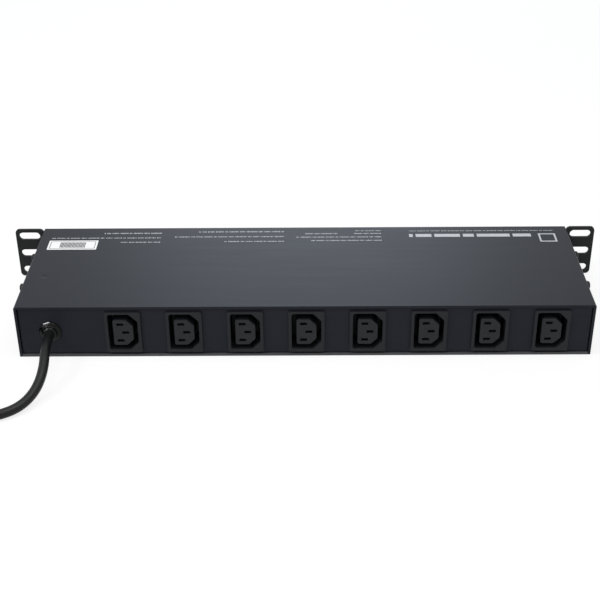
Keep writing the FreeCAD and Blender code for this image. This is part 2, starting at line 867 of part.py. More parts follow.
# The free cord: out of the bushing, down to the surface, round to the strip's +X side and
# into a coil there. The last points lead from the coil's top layer into the plug.
CORD_ROUTE = [
    (191.7, 68.4, 22.0),
    (191.7, 86.0, 22.0),
    (190.0, 103.6, 15.6),
    (193.0, 120.4, 8.6),
    (201.2, 134.8, 4.8),
    (214.0, 144.3, 3.9),
    (230.4, 147.9, 3.8),
    (248.4, 147.6, 3.8),
    (266.4, 145.4, 3.8),
    (284.0, 144.2, 3.8),
]
COIL_CENTRE = (292.0, 93.0)
COIL_MIDDLE_RADIUS = 43.8
COIL_TURNS_ACROSS = 3
COIL_LAYERS = 2
PLUG_ROUTE = [
    (343.0, 86.0, 11.3),
    (343.2, 69.0, 12.4),
    (343.0, 51.5, 18.6),
    (343.0, 34.0, 18.6),
]
PLUG_RADIUS = 18.5
PLUG_LENGTH = 46.0
PLUG_PIN = 4.8
PLUG_PIN_LENGTH = 19.0
PLUG_PIN_SPACING = 19.0


def makeCordTube():
    cord = of.cordDiameter.number
    first = tube("cord to coil", CORD_ROUTE, cord)
    second = tube("cord to plug", PLUG_ROUTE, cord)
    return plainShape("cord_tube", Part.makeCompound([first, second]))


def makeCordCoil():
    """The outer shape of the coiled length: a ring with rounded edges."""
    cord = of.cordDiameter.number
    width, high = cord * COIL_TURNS_ACROSS, cord * COIL_LAYERS
    x, y = COIL_CENTRE
    inner = COIL_MIDDLE_RADIUS - width / 2
    outer = Part.makeCylinder(inner + width, high, Vector(x, y, 0.1))
    ring = outer.cut(Part.makeCylinder(inner, high + 2, Vector(x, y, -1)))
    ring = ring.makeFillet(cord * 0.45, [e for e in ring.Edges if e.Curve.TypeId == "Part::GeomCircle"])
    return plainShape("cord_coil", ring)


def plugShape(profile):
    place = Vector(*PLUG_ROUTE[-1])
    return turned(profile, place, Vector(0, -1, 0))


def makePlug():
    """A straight two-pin plug with earth clips at its sides, lying on the surface."""
    cord = of.cordDiameter.number / 2
    r, long = PLUG_RADIUS, PLUG_LENGTH
    profile = [(0, 0), (cord + 1.6, 0), (cord + 2.6, 10), (r - 5, 16), (r - 1, 22), (r - 0.1, 28)]
    profile += [(r - 0.1, long - 1), (r - 1.1, long), (0, long)]
    body = plugShape(profile)
    x, y, z = PLUG_ROUTE[-1]
    tip = y - long
    for side in (-1, 1):
        groove = Part.makeBox(3.2, 20, 7.2, Vector(x + side * (r - 1.5) - 1.6, tip - 1, z - 3.6))
        body = body.cut(groove)
    pins, clips = [], []
    for side in (-1, 1):
        place = Vector(x, tip, z + side * PLUG_PIN_SPACING / 2)
        pin = [(0, 0), (PLUG_PIN / 2, 0), (PLUG_PIN / 2, PLUG_PIN_LENGTH - 2)]
        pin += [(PLUG_PIN / 2 - 1.2, PLUG_PIN_LENGTH), (0, PLUG_PIN_LENGTH)]
        pins.append(turned(pin, place, Vector(0, -1, 0)))
        clips.append(Part.makeBox(1.4, 17, 6.0, Vector(x + side * (r - 2.4) - 0.7, tip + 1, z - 3.0)))
    plainShape("plug_body", body)
    plainShape("plug_pins", Part.makeCompound(pins))
    plainShape("plug_earth_clips", Part.makeCompound(clips))


# ---------------------------------------------------------------- switch, breaker, meter


def tabPlaces():
    """(X, Z) of the switch's four terminals: two poles side by side."""
    half = of.tabSpacing / 2
    x, z = of.switchPlace, of.switchHeight
    return [(x + half * i, z + half * j) for i in (-1, 1) for j in (-1, 1)]


def rockerAxis():
    """Y of the rocker's pivot."""
    return front + of.rockerPivot


def makeSwitchHousing():
    """A snap-in box with a rim on the panel, open to the front for the rocker."""
    body = newBody("switch_housing")
    x, z = of.switchPlace, of.switchHeight
    box = newSketch(body, "SwitchBox", "XZ_Plane", -front)
    centred(box, of.switchWidth, of.switchTall, x, z)
    pad(body, "SwitchBlock", box, of.switchDepth, back=True)
    rim = newSketch(body, "SwitchRimPlate", "XZ_Plane", -front)
    grow = of.switchRim * 2
    centred(rim, of.switchWidth + grow, of.switchTall + grow, x, z)
    pad(body, "SwitchRim", rim, of.switchBezel)
    hollow = newSketch(body, "SwitchHollow", "XZ_Plane", -front + of.switchBezel + 1)
    wall = of.switchWall * 2
    centred(hollow, of.switchWidth - wall, of.switchTall - wall, x, z)
    deep = of.switchBezel + 1 + of.switchDepth - of.switchWall
    cut(body, "SwitchHollowCut", hollow, deep, back=True)
    pivots = newSketch(body, "PivotHoles", "YZ_Plane", x)
    circle(pivots, rockerAxis(), z, of.trunnion + of.trunnionFit * 2)
    cut(body, "PivotHolesCut", pivots, of.switchWidth - of.switchWall, both=True)
    tabs = newSketch(body, "TabSlots", "XZ_Plane", -front - of.switchDepth - 1)
    for tabX, tabZ in tabPlaces():
        centred(tabs, of.tabSheet, of.tabWidth, tabX, tabZ)
    cut(body, "TabSlotsCut", tabs, of.switchWall + 2)
    return body


def makeSwitchRocker():
    """The rocker on its two trunnions, tilted to one of its two resting positions."""
    body = newBody("switch_rocker")
    wide = of.switchWidth - of.switchWall * 2 - of.rockerGap * 2
    tilt = math.radians(of.rockerTilt.number)
    dip = -of.rockerPivot - of.switchBezel
    tip = dip - of.rockerDish
    # The tips swing up and down by their distance from the pivot, so they start further in.
    room = of.switchTall / 2 - of.switchWall - of.rockerGap
    halfTall = (room + tip * math.sin(tilt)) / math.cos(tilt)
    side = newSketch(body, "RockerSide", "YZ_Plane")
    outline = [(dip, 0), (tip, -halfTall), (-1.0, -halfTall), (3.0, -3.0)]
    outline += [(7.0, -1.2), (7.0, 1.2), (3.0, 3.0), (-1.0, halfTall), (tip, halfTall)]
    polygon(side, outline)
    pad(body, "RockerBlock", side, wide, both=True)
    pins = newSketch(body, "Trunnions", "YZ_Plane")
    circle(pins, 0, 0, of.trunnion)
    pad(body, "TrunnionPins", pins, of.switchWidth - of.switchWall - of.rockerGap, both=True)
    body.Placement = Placement(Vector(), Rotation(Vector(1, 0, 0), of.rockerTilt.number))
    bind(body, "Placement.Base.x", of.switchPlace)
    bind(body, "Placement.Base.y", rockerAxis())
    bind(body, "Placement.Base.z", of.switchHeight)
    return body


def makeSwitchTerminals():
    """Four flat tabs through the back of the switch."""
    back = (front + of.switchDepth).number
    inside, long = of.switchWall.number + 1.5, of.tabLength.number
    solids = []
    for x, z in tabPlaces():
        sheetX, wide = of.tabSheet.number, of.tabWidth.number
        corner = Vector(x.number - sheetX / 2, back - inside, z.number - wide / 2)
        solids.append(Part.makeBox(sheetX, inside + long, wide, corner))
    return plainShape("switch_terminals", Part.makeCompound(solids))


def makeBreakerHousing():
    """The breaker's box behind the panel and its threaded neck through it."""
    body = newBody("breaker_housing")
    x, z = of.breakerPlace, of.switchHeight
    box = newSketch(body, "BreakerBox", "XZ_Plane", -frontWall)
    centred(box, of.breakerBodyWidth, of.breakerBodyHeight, x, z)
    pad(body, "BreakerBlock", box, of.breakerBodyDepth, back=True)
    neck = newSketch(body, "BreakerNeck", "XZ_Plane", -frontWall)
    circle(neck, x, z, of.breakerNeck)
    pad(body, "BreakerNeckTube", neck, of.panelSheet + of.breakerNeckProud)
    bore = newSketch(body, "ButtonBore", "XZ_Plane", -front + of.breakerNeckProud + 1)
    circle(bore, x, z, of.breakerButton + of.breakerButtonFit * 2)
    deep = of.breakerNeckProud + 1 + of.panelSheet + of.breakerTravel + 6
    cut(body, "ButtonBoreCut", bore, deep, back=True)
    return body


def makeBreakerNut():
    """The knurled ring that clamps the breaker to the panel."""
    body = newBody("breaker_nut")
    ring = newSketch(body, "NutRing", "XZ_Plane", -front)
    circle(ring, of.breakerPlace, of.switchHeight, of.breakerNut)
    circle(ring, of.breakerPlace, of.switchHeight, of.breakerNeck + of.boreFit * 2)
    pad(body, "NutRingBlock", ring, of.breakerNutHeight)
    edge = of.breakerNut / 2
    proud = (front - of.breakerNutHeight).number
    roundOff(
        body,
        "NutBevel",
        0.5,
        lambda p, d: near(p.y, proud) and near(math.hypot(p.x - of.breakerPlace.number,
                                                           p.z - of.switchHeight.number), edge),
        "PartDesign::Chamfer",
    )
    return body


def makeBreakerButton():
    """The reset button, pushed in, with the collar that stops it in the neck."""
    body = newBody("breaker_button")
    shaft = newSketch(body, "ButtonShaft", "XZ_Plane", -front + of.frontProud)
    circle(shaft, 0, 0, of.breakerButton)
    pad(body, "ButtonRod", shaft, of.frontProud + of.panelSheet + 4, back=True)
    tip = (front - of.frontProud).number
    roundOff(body, "ButtonTip", 0.8, lambda p, d: near(p.y, tip))
    bind(body, "Placement.Base.x", of.breakerPlace)
    bind(body, "Placement.Base.z", of.switchHeight)
    return body


def makeBreakerTerminals():
    back = (frontWall + of.breakerBodyDepth).number
    x, wide = of.breakerPlace.number, of.tabWidth.number
    solids = []
    for side in (-1, 1):
        z = of.switchHeight.number + side * of.tabSpacing.number * 0.8
        corner = Vector(x - of.tabSheet.number / 2, back, z - wide / 2)
        solids.append(Part.makeBox(of.tabSheet.number, of.tabLength.number, wide, corner))
    return plainShape("breaker_terminals", Part.makeCompound(solids))


def makeMeterWindow():
    """A smoked window, flush in the panel, with a lip behind it."""
    body = newBody("meter_window")
    x, z = of.meterPlace, of.switchHeight
    fit = of.windowFit * 2
    pane = newSketch(body, "Pane", "XZ_Plane", -front)
    centred(pane, of.windowWidth - fit, of.windowHeight - fit, x, z)
    pad(body, "PaneBlock", pane, of.panelSheet, back=True)
    lip = newSketch(body, "Lip", "XZ_Plane", -frontWall)
    grow = of.windowLip * 2
    centred(lip, of.windowWidth + grow, of.windowHeight + grow, x, z)
    pad(body, "LipBlock", lip, of.windowLipSheet, back=True)
    return body


def digitsFace():
    return frontWall + of.windowLipSheet + of.sheetGap * 2


def boardFace():
    return digitsFace() + of.digitsDepth


def box(label, width, depth, height, x, y, z):
    """A box given by its size, the middle of its width and height, and its front."""
    block = doc.addObject("Part::Box", label)
    block.Label = label
    bind(block, "Length", width)
    bind(block, "Width", depth)
    bind(block, "Height", height)
    bind(block, "Placement.Base.x", x - width / 2)
    bind(block, "Placement.Base.y", y)
    bind(block, "Placement.Base.z", z - height / 2)
    return block


def makeMeterBoard():
    box(
        "meter_board",
        of.boardWidth,
        of.boardSheet,
        of.boardHeight,
        of.meterPlace,
        boardFace(),
        of.switchHeight,
    )


def makeDigitModules():
    """The voltage and the current display, side by side behind the window."""
    for name, side in (("volt_digits", 1), ("amp_digits", -1)):
        box(
            name,
            of.digitsWidth,
            of.digitsDepth,
            of.digitsHeight,
            of.meterPlace + of.digitsSpacing / 2 * side,
            digitsFace(),
            of.switchHeight,
        )


def standoffPlaces():
    wide, up = of.standoffAcross.number / 2, of.standoffUp.number / 2
    x, z = of.meterPlace.number, of.switchHeight.number
    return [(x + wide * i, z + up * j) for i in (-1, 1) for j in (-1, 1)]


def makeBoardStandoffs():
    """Four posts from the panel to the board."""
    start = frontWall.number
    long = boardFace().number - start
    posts = []
    for x, z in standoffPlaces():
        base = Vector(x, start, z)
        posts.append(Part.makeCylinder(of.standoffDiameter.number / 2, long, base, Vector(0, 1, 0)))
    return plainShape("board_standoffs", Part.makeCompound(posts))


def makeBoardScrews():
    """Screw heads that hold the board on its posts."""
    back = (boardFace() + of.boardSheet).number
    profile = [(0, 0), (2.75, 0), (2.75, 1.2), (1.8, 2.0), (0, 2.0)]
    heads = [turned(profile, Vector(x, back, z), Vector(0, 1, 0)) for x, z in standoffPlaces()]
    return plainShape("board_screws", Part.makeCompound(heads))


# ---------------------------------------------------------------- earth stud and leads


def makeEarthStud():
    """A threaded stud pressed into the base, with a nut that clamps the earth leads."""
    x, y = of.studPlace.number, of.studDepth.number
    r = of.studDiameter.number / 2
    low, top = of.baseSheet.number, of.baseSheet.number + of.studLength.number
    seat = low + of.studCollar.number
    profile = [(0, 0.1), (r - 0.05, 0.1), (r - 0.05, low), (r + 1.5, low), (r + 1.5, seat)]
    profile += [(r - 0.05, seat), (r - 0.05, top - 0.6), (r - 0.6, top), (0, top)]
    plainShape("earth_stud", turned(profile, Vector(x, y, 0), Vector(0, 0, 1)))
    seat += of.ringSheet.number * 2
    corner = of.nutAcross.number / math.sqrt(3)
    points = [
        Vector(
            x + corner * math.cos(math.radians(60 * i)),
            y + corner * math.sin(math.radians(60 * i)),
            seat,
        )
        for i in range(6)
    ]
    hexagon = Part.Face(Part.makePolygon(points + points[:1]))
    nut = hexagon.extrude(Vector(0, 0, of.nutHeight.number))
    nut = nut.cut(Part.makeCylinder(r, 20, Vector(x, y, low)))
    plainShape("earth_nut", nut)


def makeEarthRings():
    """Two ring terminals on the stud, one above the other."""
    x, y = of.studPlace.number, of.studDepth.number
    thick, reach = of.ringSheet.number, of.ringTongue.number
    rings = []
    for level in range(2):
        z = (of.baseSheet + of.studCollar).number + level * thick
        ring = Part.makeCylinder(4.0, thick, Vector(x, y, z))
        tongue = Part.makeBox(3.0, reach, thick, Vector(x - 1.5, y, z))
        if level:
            tongue = Part.makeBox(reach, 3.0, thick, Vector(x - reach, y - 1.5, z))
        ring = ring.fuse(tongue).removeSplitter()
        rings.append(ring.cut(Part.makeCylinder(of.studDiameter.number / 2, 20, Vector(x, y, 0))))
    return plainShape("earth_rings", Part.makeCompound(rings))


CORE_DIAMETER = 2.8


def makeLeads():
    """The cord's three cores and the links between switch, breaker, stud and rails."""
    lead = CORE_DIAMETER
    touch = of.boreFit.number
    tailEnd = (rear - of.tailInside).number - touch
    x, z = of.cordEntry.number, of.cordHeight.number
    tabs = [(tabX.number, tabZ.number) for tabX, tabZ in tabPlaces()]
    tabEnd = (front + of.switchDepth + of.tabLength).number + touch
    breakerX = of.breakerPlace.number
    breakerEnd = (frontWall + of.breakerBodyDepth + of.tabLength).number + touch
    breakerStep = of.tabSpacing.number * 0.8
    switchZ = of.switchHeight.number
    railX = (of.firstOutlet + of.railEnd).number + touch
    railY = (railFront - of.railWidth / 2).number
    level = of.outletHeight.number
    step = of.liveSpacing.number
    studX, studY = of.studPlace.number, of.studDepth.number
    ringEnd = studY + of.ringTongue.number + touch
    ringLow = (of.baseSheet + of.studCollar + of.ringSheet / 2).number
    ringHigh = ringLow + of.ringSheet.number

    lineX, lineLow, lineHigh = tabs[3][0], tabs[2][1], tabs[3][1]
    neutralX, neutralLow, neutralHigh = tabs[1][0], tabs[0][1], tabs[1][1]
    gap = (tailEnd - tabEnd) / 5
    line = [
        tube(
            "line core",
            [
                (x - 1.0, tailEnd, z + 1.75),
                (x - 1.0, tailEnd - gap, z + 1.75),
                (x - 2.6, tailEnd - gap * 2, z - 0.2),
                (lineX + 2.6, tailEnd - gap * 3, z - 3.2),
                (lineX, tailEnd - gap * 4, lineLow),
                (lineX, tabEnd, lineLow),
            ],
            lead,
        ),
        tube(
            "line link",
            [
                (lineX, tabEnd, lineHigh),
                (lineX, tabEnd + 11, lineHigh),
                (lineX - 7, tabEnd + 21, lineHigh + 3.4),
                (lineX - 20, tabEnd + 24, lineHigh + 4.6),
                (breakerX + 9, breakerEnd + 20, switchZ + breakerStep + 2),
                (breakerX, breakerEnd + 12, switchZ + breakerStep),
                (breakerX, breakerEnd, switchZ + breakerStep),
            ],
            lead,
        ),
        tube(
            "line feed",
            [
                (breakerX, breakerEnd, switchZ - breakerStep),
                (breakerX, breakerEnd + 13, switchZ - breakerStep),
                (breakerX + 5, breakerEnd + 25, switchZ - breakerStep + 4),
                (railX + 12, railY - 22, level + step - 8),
                (railX + 18, railY - 8, level + step - 2),
                (railX + 12, railY, level + step),
                (railX, railY, level + step),
            ],
            lead,
        ),
    ]
    neutral = [
        tube(
            "neutral core",
            [
                (x - 1.0, tailEnd, z - 1.75),
                (x - 1.0, tailEnd - gap, z - 1.75),
                (x - 5.6, tailEnd - gap * 2, z - 4.2),
                (neutralX + 6.5, tailEnd - gap * 3, z - 5.4),
                (neutralX, tailEnd - gap * 4, neutralLow),
                (neutralX, tabEnd, neutralLow),
            ],
            lead,
        ),
        tube(
            "neutral feed",
            [
                (neutralX, tabEnd, neutralHigh),
                (neutralX, tabEnd + 13, neutralHigh),
                (neutralX + 2.5, tabEnd + 28, neutralHigh - 3.2),
                (neutralX + 4.5, tabEnd + 43, level - step + 4),
                (railX + 20, railY - 8, level - step + 0.6),
                (railX + 12, railY, level - step),
                (railX, railY, level - step),
            ],
            lead,
        ),
    ]
    earth = [
        tube(
            "earth core",
            [
                (x + 2.0, tailEnd, z),
                (x + 2.0, tailEnd - 8, z),
                (studX + 1.6, tailEnd - 18, z - 9),
                (studX, ringEnd + 9, ringLow),
                (studX, ringEnd, ringLow),
            ],
            lead,
        ),
        tube(
            "earth link",
            [
                (studX + studY - ringEnd, studY, ringHigh),
                (studX + studY - ringEnd - 9, studY, ringHigh),
                (studX - 27, studY + 7, ringHigh + 4.0),
                (railX + 17, railY - 16, level - 5),
                (railX + 12, railY, level),
                (railX, railY, level),
            ],
            lead,
        ),
    ]
    plainShape("line_leads", Part.makeCompound(line))
    plainShape("neutral_leads", Part.makeCompound(neutral))
    plainShape("earth_leads", Part.makeCompound(earth))


# ---------------------------------------------------------------- assembly

makeTopCover()
makeBasePlate()
makeRearPanel()
makeFrontPanel()
makeEar("ear_right", 1)
makeEar("ear_left", -1)
makeCoverScrews()
makeClinchNuts()
makeRivets()
makeLabel()
for index in range(round(of.outletCount.number)):
    makeOutletHousing(index)
    makeOutletCore(index)
makeBusRail("line_bus", of.liveOffset, of.liveSpacing)
makeBusRail("neutral_bus", of.liveOffset, -of.liveSpacing)
makeBusRail("earth_bus", of.earthOffset, size(0))
makeStrainRelief()
makeCordTail()
makeCordTube()
makeCordCoil()
makePlug()
makeSwitchHousing()
makeSwitchRocker()
makeSwitchTerminals()
makeBreakerHousing()
makeBreakerNut()
makeBreakerButton()
makeBreakerTerminals()
makeMeterWindow()
makeMeterBoard()
makeDigitModules()
makeBoardStandoffs()
makeBoardScrews()
makeEarthStud()
makeEarthRings()
makeLeads()
doc.recompute()

for item in doc.Objects:
    if "Invalid" in item.State or "Error" in item.State:
        raise ValueError(f"{item.Label} failed: {item.State}")

KINDS = ("PartDesign::Body", "Part::Box", "Part::Cylinder", "Part::Feature")
subParts = [item for item in doc.Objects if item.TypeId in KINDS]
for item in subParts:
    if item.Shape.isNull() or not item.Shape.isValid():
        raise ValueError(f"{item.Label} has no valid shape")
for item in subParts:
    item.Shape.exportStep(f"parts/{item.Label}.step")
print(len(subParts), "sub-parts written")
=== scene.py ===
import json
import math

import bmesh
import bpy
from mathutils import Matrix, Vector


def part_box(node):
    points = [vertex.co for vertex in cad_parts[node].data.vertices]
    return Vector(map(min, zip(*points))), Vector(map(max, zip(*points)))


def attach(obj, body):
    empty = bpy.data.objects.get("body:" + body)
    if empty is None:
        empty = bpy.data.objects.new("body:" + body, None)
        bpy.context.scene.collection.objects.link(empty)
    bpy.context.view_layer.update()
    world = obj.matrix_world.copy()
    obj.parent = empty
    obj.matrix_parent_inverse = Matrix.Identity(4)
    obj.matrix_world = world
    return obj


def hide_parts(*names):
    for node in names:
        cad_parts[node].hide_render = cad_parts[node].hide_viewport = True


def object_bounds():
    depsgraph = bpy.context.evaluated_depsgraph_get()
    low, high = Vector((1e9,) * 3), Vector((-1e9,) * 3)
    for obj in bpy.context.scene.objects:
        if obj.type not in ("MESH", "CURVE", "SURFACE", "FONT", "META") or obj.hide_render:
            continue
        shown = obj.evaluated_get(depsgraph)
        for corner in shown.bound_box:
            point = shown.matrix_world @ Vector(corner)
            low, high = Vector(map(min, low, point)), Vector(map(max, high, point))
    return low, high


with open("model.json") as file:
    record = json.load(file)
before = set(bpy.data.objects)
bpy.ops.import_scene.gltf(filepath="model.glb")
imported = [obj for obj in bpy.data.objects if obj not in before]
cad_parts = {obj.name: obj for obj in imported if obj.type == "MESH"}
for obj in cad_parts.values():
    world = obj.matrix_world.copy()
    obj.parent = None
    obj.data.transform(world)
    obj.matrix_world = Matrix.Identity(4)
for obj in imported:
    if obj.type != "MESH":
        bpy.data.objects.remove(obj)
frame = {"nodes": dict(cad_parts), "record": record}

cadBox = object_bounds()
mm = 0.001
slotOf = {part["node"]: part["material_slot"] for part in frame["record"]["subparts"]}
print("frame:", len(frame["nodes"]), "nodes")


def linear(hexValue):
    # an sRGB hex colour as the linear values a shader takes
    parts = [int(hexValue[i:i + 2], 16) / 255 for i in (1, 3, 5)]
    return [p / 12.92 if p <= 0.04045 else ((p + 0.055) / 1.055) ** 2.4 for p in parts] + [1.0]


def addNode(tree, kind, settings=None, inputs=None):
    # an input is a plain value, or the socket that feeds it
    node = tree.nodes.new(kind)
    for name, value in (settings or {}).items():
        setattr(node, name, value)
    for name, value in (inputs or {}).items():
        if isinstance(value, bpy.types.NodeSocket):
            tree.links.new(value, node.inputs[name])
        else:
            node.inputs[name].default_value = value
    return node


def newMaterial(name, values):
    material = bpy.data.materials.new(name)
    material.use_nodes = True
    shader = material.node_tree.nodes["Principled BSDF"]
    for socket, value in values.items():
        shader.inputs[socket].default_value = value
    return material, material.node_tree, shader


def mottled(name, look):
    # a surface whose colour drifts a little, whose gloss is uneven and whose grain catches light;
    # driftSize and grainSize are in millimetres, the grain being a few times coarser than life so that it shows
    material, tree, shader = newMaterial(name, look["shader"])
    place = addNode(tree, "ShaderNodeTexCoord").outputs["Object"]
    if "stretch" in look:
        mapping = addNode(tree, "ShaderNodeMapping", None, {"Vector": place, "Scale": look["stretch"]})
        place = mapping.outputs["Vector"]
    drift = addNode(tree, "ShaderNodeTexNoise", None, {
        "Vector": place, "Scale": 1 / (look["driftSize"] * mm), "Detail": 3.0})
    grain = addNode(tree, "ShaderNodeTexNoise", None, {
        "Vector": place, "Scale": 1 / (look["grainSize"] * mm), "Detail": 2.0})
    tint = addNode(tree, "ShaderNodeMix", {"data_type": "RGBA"}, {
        0: drift.outputs["Fac"], 6: linear(look["colours"][0]), 7: linear(look["colours"][1])})
    gloss = addNode(tree, "ShaderNodeMapRange", None, {
        "Value": drift.outputs["Fac"], "From Min": 0.3, "From Max": 0.7,
        "To Min": look["roughness"][0], "To Max": look["roughness"][1]})
    bump = addNode(tree, "ShaderNodeBump", None, {
        "Height": grain.outputs["Fac"], "Strength": look["bump"], "Distance": look["grainSize"] * 0.25 * mm})
    tree.links.new(tint.outputs[2], shader.inputs["Base Color"])
    tree.links.new(gloss.outputs["Result"], shader.inputs["Roughness"])
    tree.links.new(bump.outputs["Normal"], shader.inputs["Normal"])
    return material


def newPiece(name, mesh, body, material, smooth=30):
    # closes a bmesh into an object at the origin, that rides on a CAD body
    data = bpy.data.meshes.new(name)
    mesh.to_mesh(data)
    mesh.free()
    piece = bpy.data.objects.new(name, data)
    bpy.context.scene.collection.objects.link(piece)
    data.shade_smooth()
    data.set_sharp_from_angle(angle=math.radians(smooth))
    data.materials.append(material)
    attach(piece, body)
    return piece


def easeEdges(piece, width, segments=2, angle=35):
    ease = piece.modifiers.new("easedEdges", "BEVEL")
    ease.width, ease.segments = width * mm, segments
    ease.limit_method, ease.angle_limit = "ANGLE", math.radians(angle)
    # large flat faces keep their own normals, so a shallow dent doesn't shade the whole sheet
    even = piece.modifiers.new("evenShading", "WEIGHTED_NORMAL")
    even.keep_sharp, even.weight = True, 100


def eased(node, name, width, body="case", segments=2):
    # a merged copy of a CAD node whose corners are slightly rounded, as moulding and coating leave them
    mesh = bmesh.new()
    mesh.from_mesh(frame["nodes"][node].data)
    bmesh.ops.remove_doubles(mesh, verts=mesh.verts, dist=0.002 * mm)
    bmesh.ops.dissolve_limit(mesh, angle_limit=math.radians(0.6), verts=mesh.verts, edges=mesh.edges)
    piece = newPiece(name, mesh, body, finishes[slotOf[node]])
    easeEdges(piece, width, segments)
    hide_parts(node)
    return piece


def lathe(mesh, profile, axisPoint, axis, steps=48):
    # spins (radius, height) pairs about an axis, and closes the poles
    axis = Vector(axis).normalized()
    side = axis.orthogonal().normalized()
    verts = [mesh.verts.new(Vector(axisPoint) + side * r * mm + axis * h * mm) for r, h in profile]
    edges = [mesh.edges.new(pair) for pair in zip(verts, verts[1:])]
    bmesh.ops.spin(mesh, geom=verts + edges, cent=axisPoint, axis=axis, angle=2 * math.pi,
                   steps=steps, use_merge=True)
    bmesh.ops.remove_doubles(mesh, verts=mesh.verts, dist=0.001 * mm)
    bmesh.ops.recalc_face_normals(mesh, faces=mesh.faces)


def addBlock(mesh, low, high, turn=None):
    # a block between two corners, in millimetres
    made = bmesh.ops.create_cube(mesh, size=1.0)["verts"]
    low, high = Vector(low) * mm, Vector(high) * mm
    bmesh.ops.scale(mesh, vec=high - low, verts=made)
    if turn:
        bmesh.ops.rotate(mesh, cent=(0, 0, 0), matrix=turn, verts=made)
    bmesh.ops.translate(mesh, vec=(low + high) / 2, verts=made)
    return made


# the camera sees the strip from behind and above
cameraSizes = {
    "place": (-0.0033, 0.83075, 0.50922), "turn": (59.034, 0.4313, -179.773),
    "lens": 72.35, "sensor": 36, "near": 0.01, "far": 30,
}

cameraData = bpy.data.cameras.new("camera")
cameraData.lens, cameraData.sensor_width = cameraSizes["lens"], cameraSizes["sensor"]
cameraData.clip_start, cameraData.clip_end = cameraSizes["near"], cameraSizes["far"]
camera = bpy.data.objects.new("camera", cameraData)
camera.location = cameraSizes["place"]
camera.rotation_euler = [math.radians(a) for a in cameraSizes["turn"]]
bpy.context.scene.collection.objects.link(camera)
bpy.context.scene.camera = camera
print("camera placed")


# one finish for each material slot of the record
finishes = {}

# satin powder coat on folded steel: nearly black, faint lengthwise drag marks, a cool sheen
coatLook = {
    "shader": {"IOR": 1.5, "Specular IOR Level": 0.13, "Specular Tint": linear("#dde6ff")},
    "colours": ("#17191d", "#1c1e22"), "roughness": (0.40, 0.44),
    "driftSize": 3.5, "grainSize": 0.9, "bump": 0.08, "stretch": (0.05, 1.0, 1.0),
}
# the base's edge is painted a lighter grey than the coat: painted light that makes up for the shade it sits in near
# the floor
baseEdgePaintedLightLook = {
    "shader": {"IOR": 1.5, "Specular IOR Level": 0.3}, "colours": ("#3a3b3d", "#444547"),
    "roughness": (0.46, 0.56), "driftSize": 12, "grainSize": 0.9, "bump": 0.10,
}
finishes["case_paint"] = mottled("satinPowderCoatedSteel", coatLook)
# the ears' powder coat is a little rougher and duller than the cover's
finishes["ear_paint"] = mottled("mattPowderCoatedEar", {
    "shader": {"IOR": 1.5, "Specular IOR Level": 0.14}, "colours": ("#1b1c1d", "#222324"),
    "roughness": (0.46, 0.58), "driftSize": 30, "grainSize": 0.7, "bump": 0.14})
# black zinc on small screws: darker in the dips, with a metallic edge
finishes["screw_black"] = mottled("blackZincScrew", {
    "shader": {"Metallic": 0.7}, "colours": ("#0d0e0f", "#1b1c1e"),
    "roughness": (0.28, 0.42), "driftSize": 2.5, "grainSize": 0.3, "bump": 0.10})
# bright zinc-plated steel: cool grey, cloudy
finishes["steel"] = mottled("zincPlatedSteel", {
    "shader": {"Metallic": 1.0}, "colours": ("#a9adb2", "#c6c9cd"),
    "roughness": (0.26, 0.40), "driftSize": 6, "grainSize": 0.5, "bump": 0.08})
# moulded glass-filled nylon: dull with a fine spark-eroded texture
finishes["outlet_plastic"] = mottled("mouldedNylonBezel", {
    "shader": {"IOR": 1.5, "Specular IOR Level": 0.16}, "colours": ("#191b1e", "#1e2023"),
    "roughness": (0.46, 0.56), "driftSize": 12, "grainSize": 0.35, "bump": 0.16})
# the core's nylon is smoother, and looks slightly deeper
finishes["core_plastic"] = mottled("mouldedNylonCore", {
    "shader": {"IOR": 1.5, "Specular IOR Level": 0.18}, "colours": ("#191c1f", "#1e2124"),
    "roughness": (0.42, 0.52), "driftSize": 8, "grainSize": 0.35, "bump": 0.14})
# rolled brass strip: warm, with the roller's fine lines along X
finishes["contact_brass"] = mottled("rolledBrassStrip", {
    "shader": {"Metallic": 1.0}, "colours": ("#b8944a", "#d2ae62"),
    "roughness": (0.24, 0.38), "driftSize": 8, "grainSize": 0.6, "bump": 0.10, "stretch": (0.1, 1.0, 1.0)})
# polished nylon bushing: small sharp highlights
finishes["relief_plastic"] = mottled("polishedNylonBushing", {
    "shader": {"IOR": 1.53, "Specular IOR Level": 0.14}, "colours": ("#030304", "#060607"),
    "roughness": (0.07, 0.12), "driftSize": 4, "grainSize": 0.8, "bump": 0.05})
# extruded PVC sheath: black, soft shine with slight drawing marks
finishes["cord_pvc"] = mottled("extrudedPvcSheath", {
    "shader": {"IOR": 1.52, "Specular IOR Level": 0.2}, "colours": ("#0b0c0d", "#111213"),
    "roughness": (0.30, 0.42), "driftSize": 9, "grainSize": 0.6, "bump": 0.08})
# soft moulded PVC: dull, dusty black with a leathery grain
finishes["plug_plastic"] = mottled("mouldedPvcPlug", {
    "shader": {"IOR": 1.52, "Specular IOR Level": 0.42}, "colours": ("#131416", "#1a1b1d"),
    "roughness": (0.40, 0.52), "driftSize": 10, "grainSize": 0.45, "bump": 0.14})
# nickel-plated pins: bright, slightly warm, wiped
finishes["pin_nickel"] = mottled("nickelPlatedPin", {
    "shader": {"Metallic": 1.0}, "colours": ("#bdb8ab", "#d3cfc4"),
    "roughness": (0.12, 0.24), "driftSize": 4, "grainSize": 0.4, "bump": 0.05})
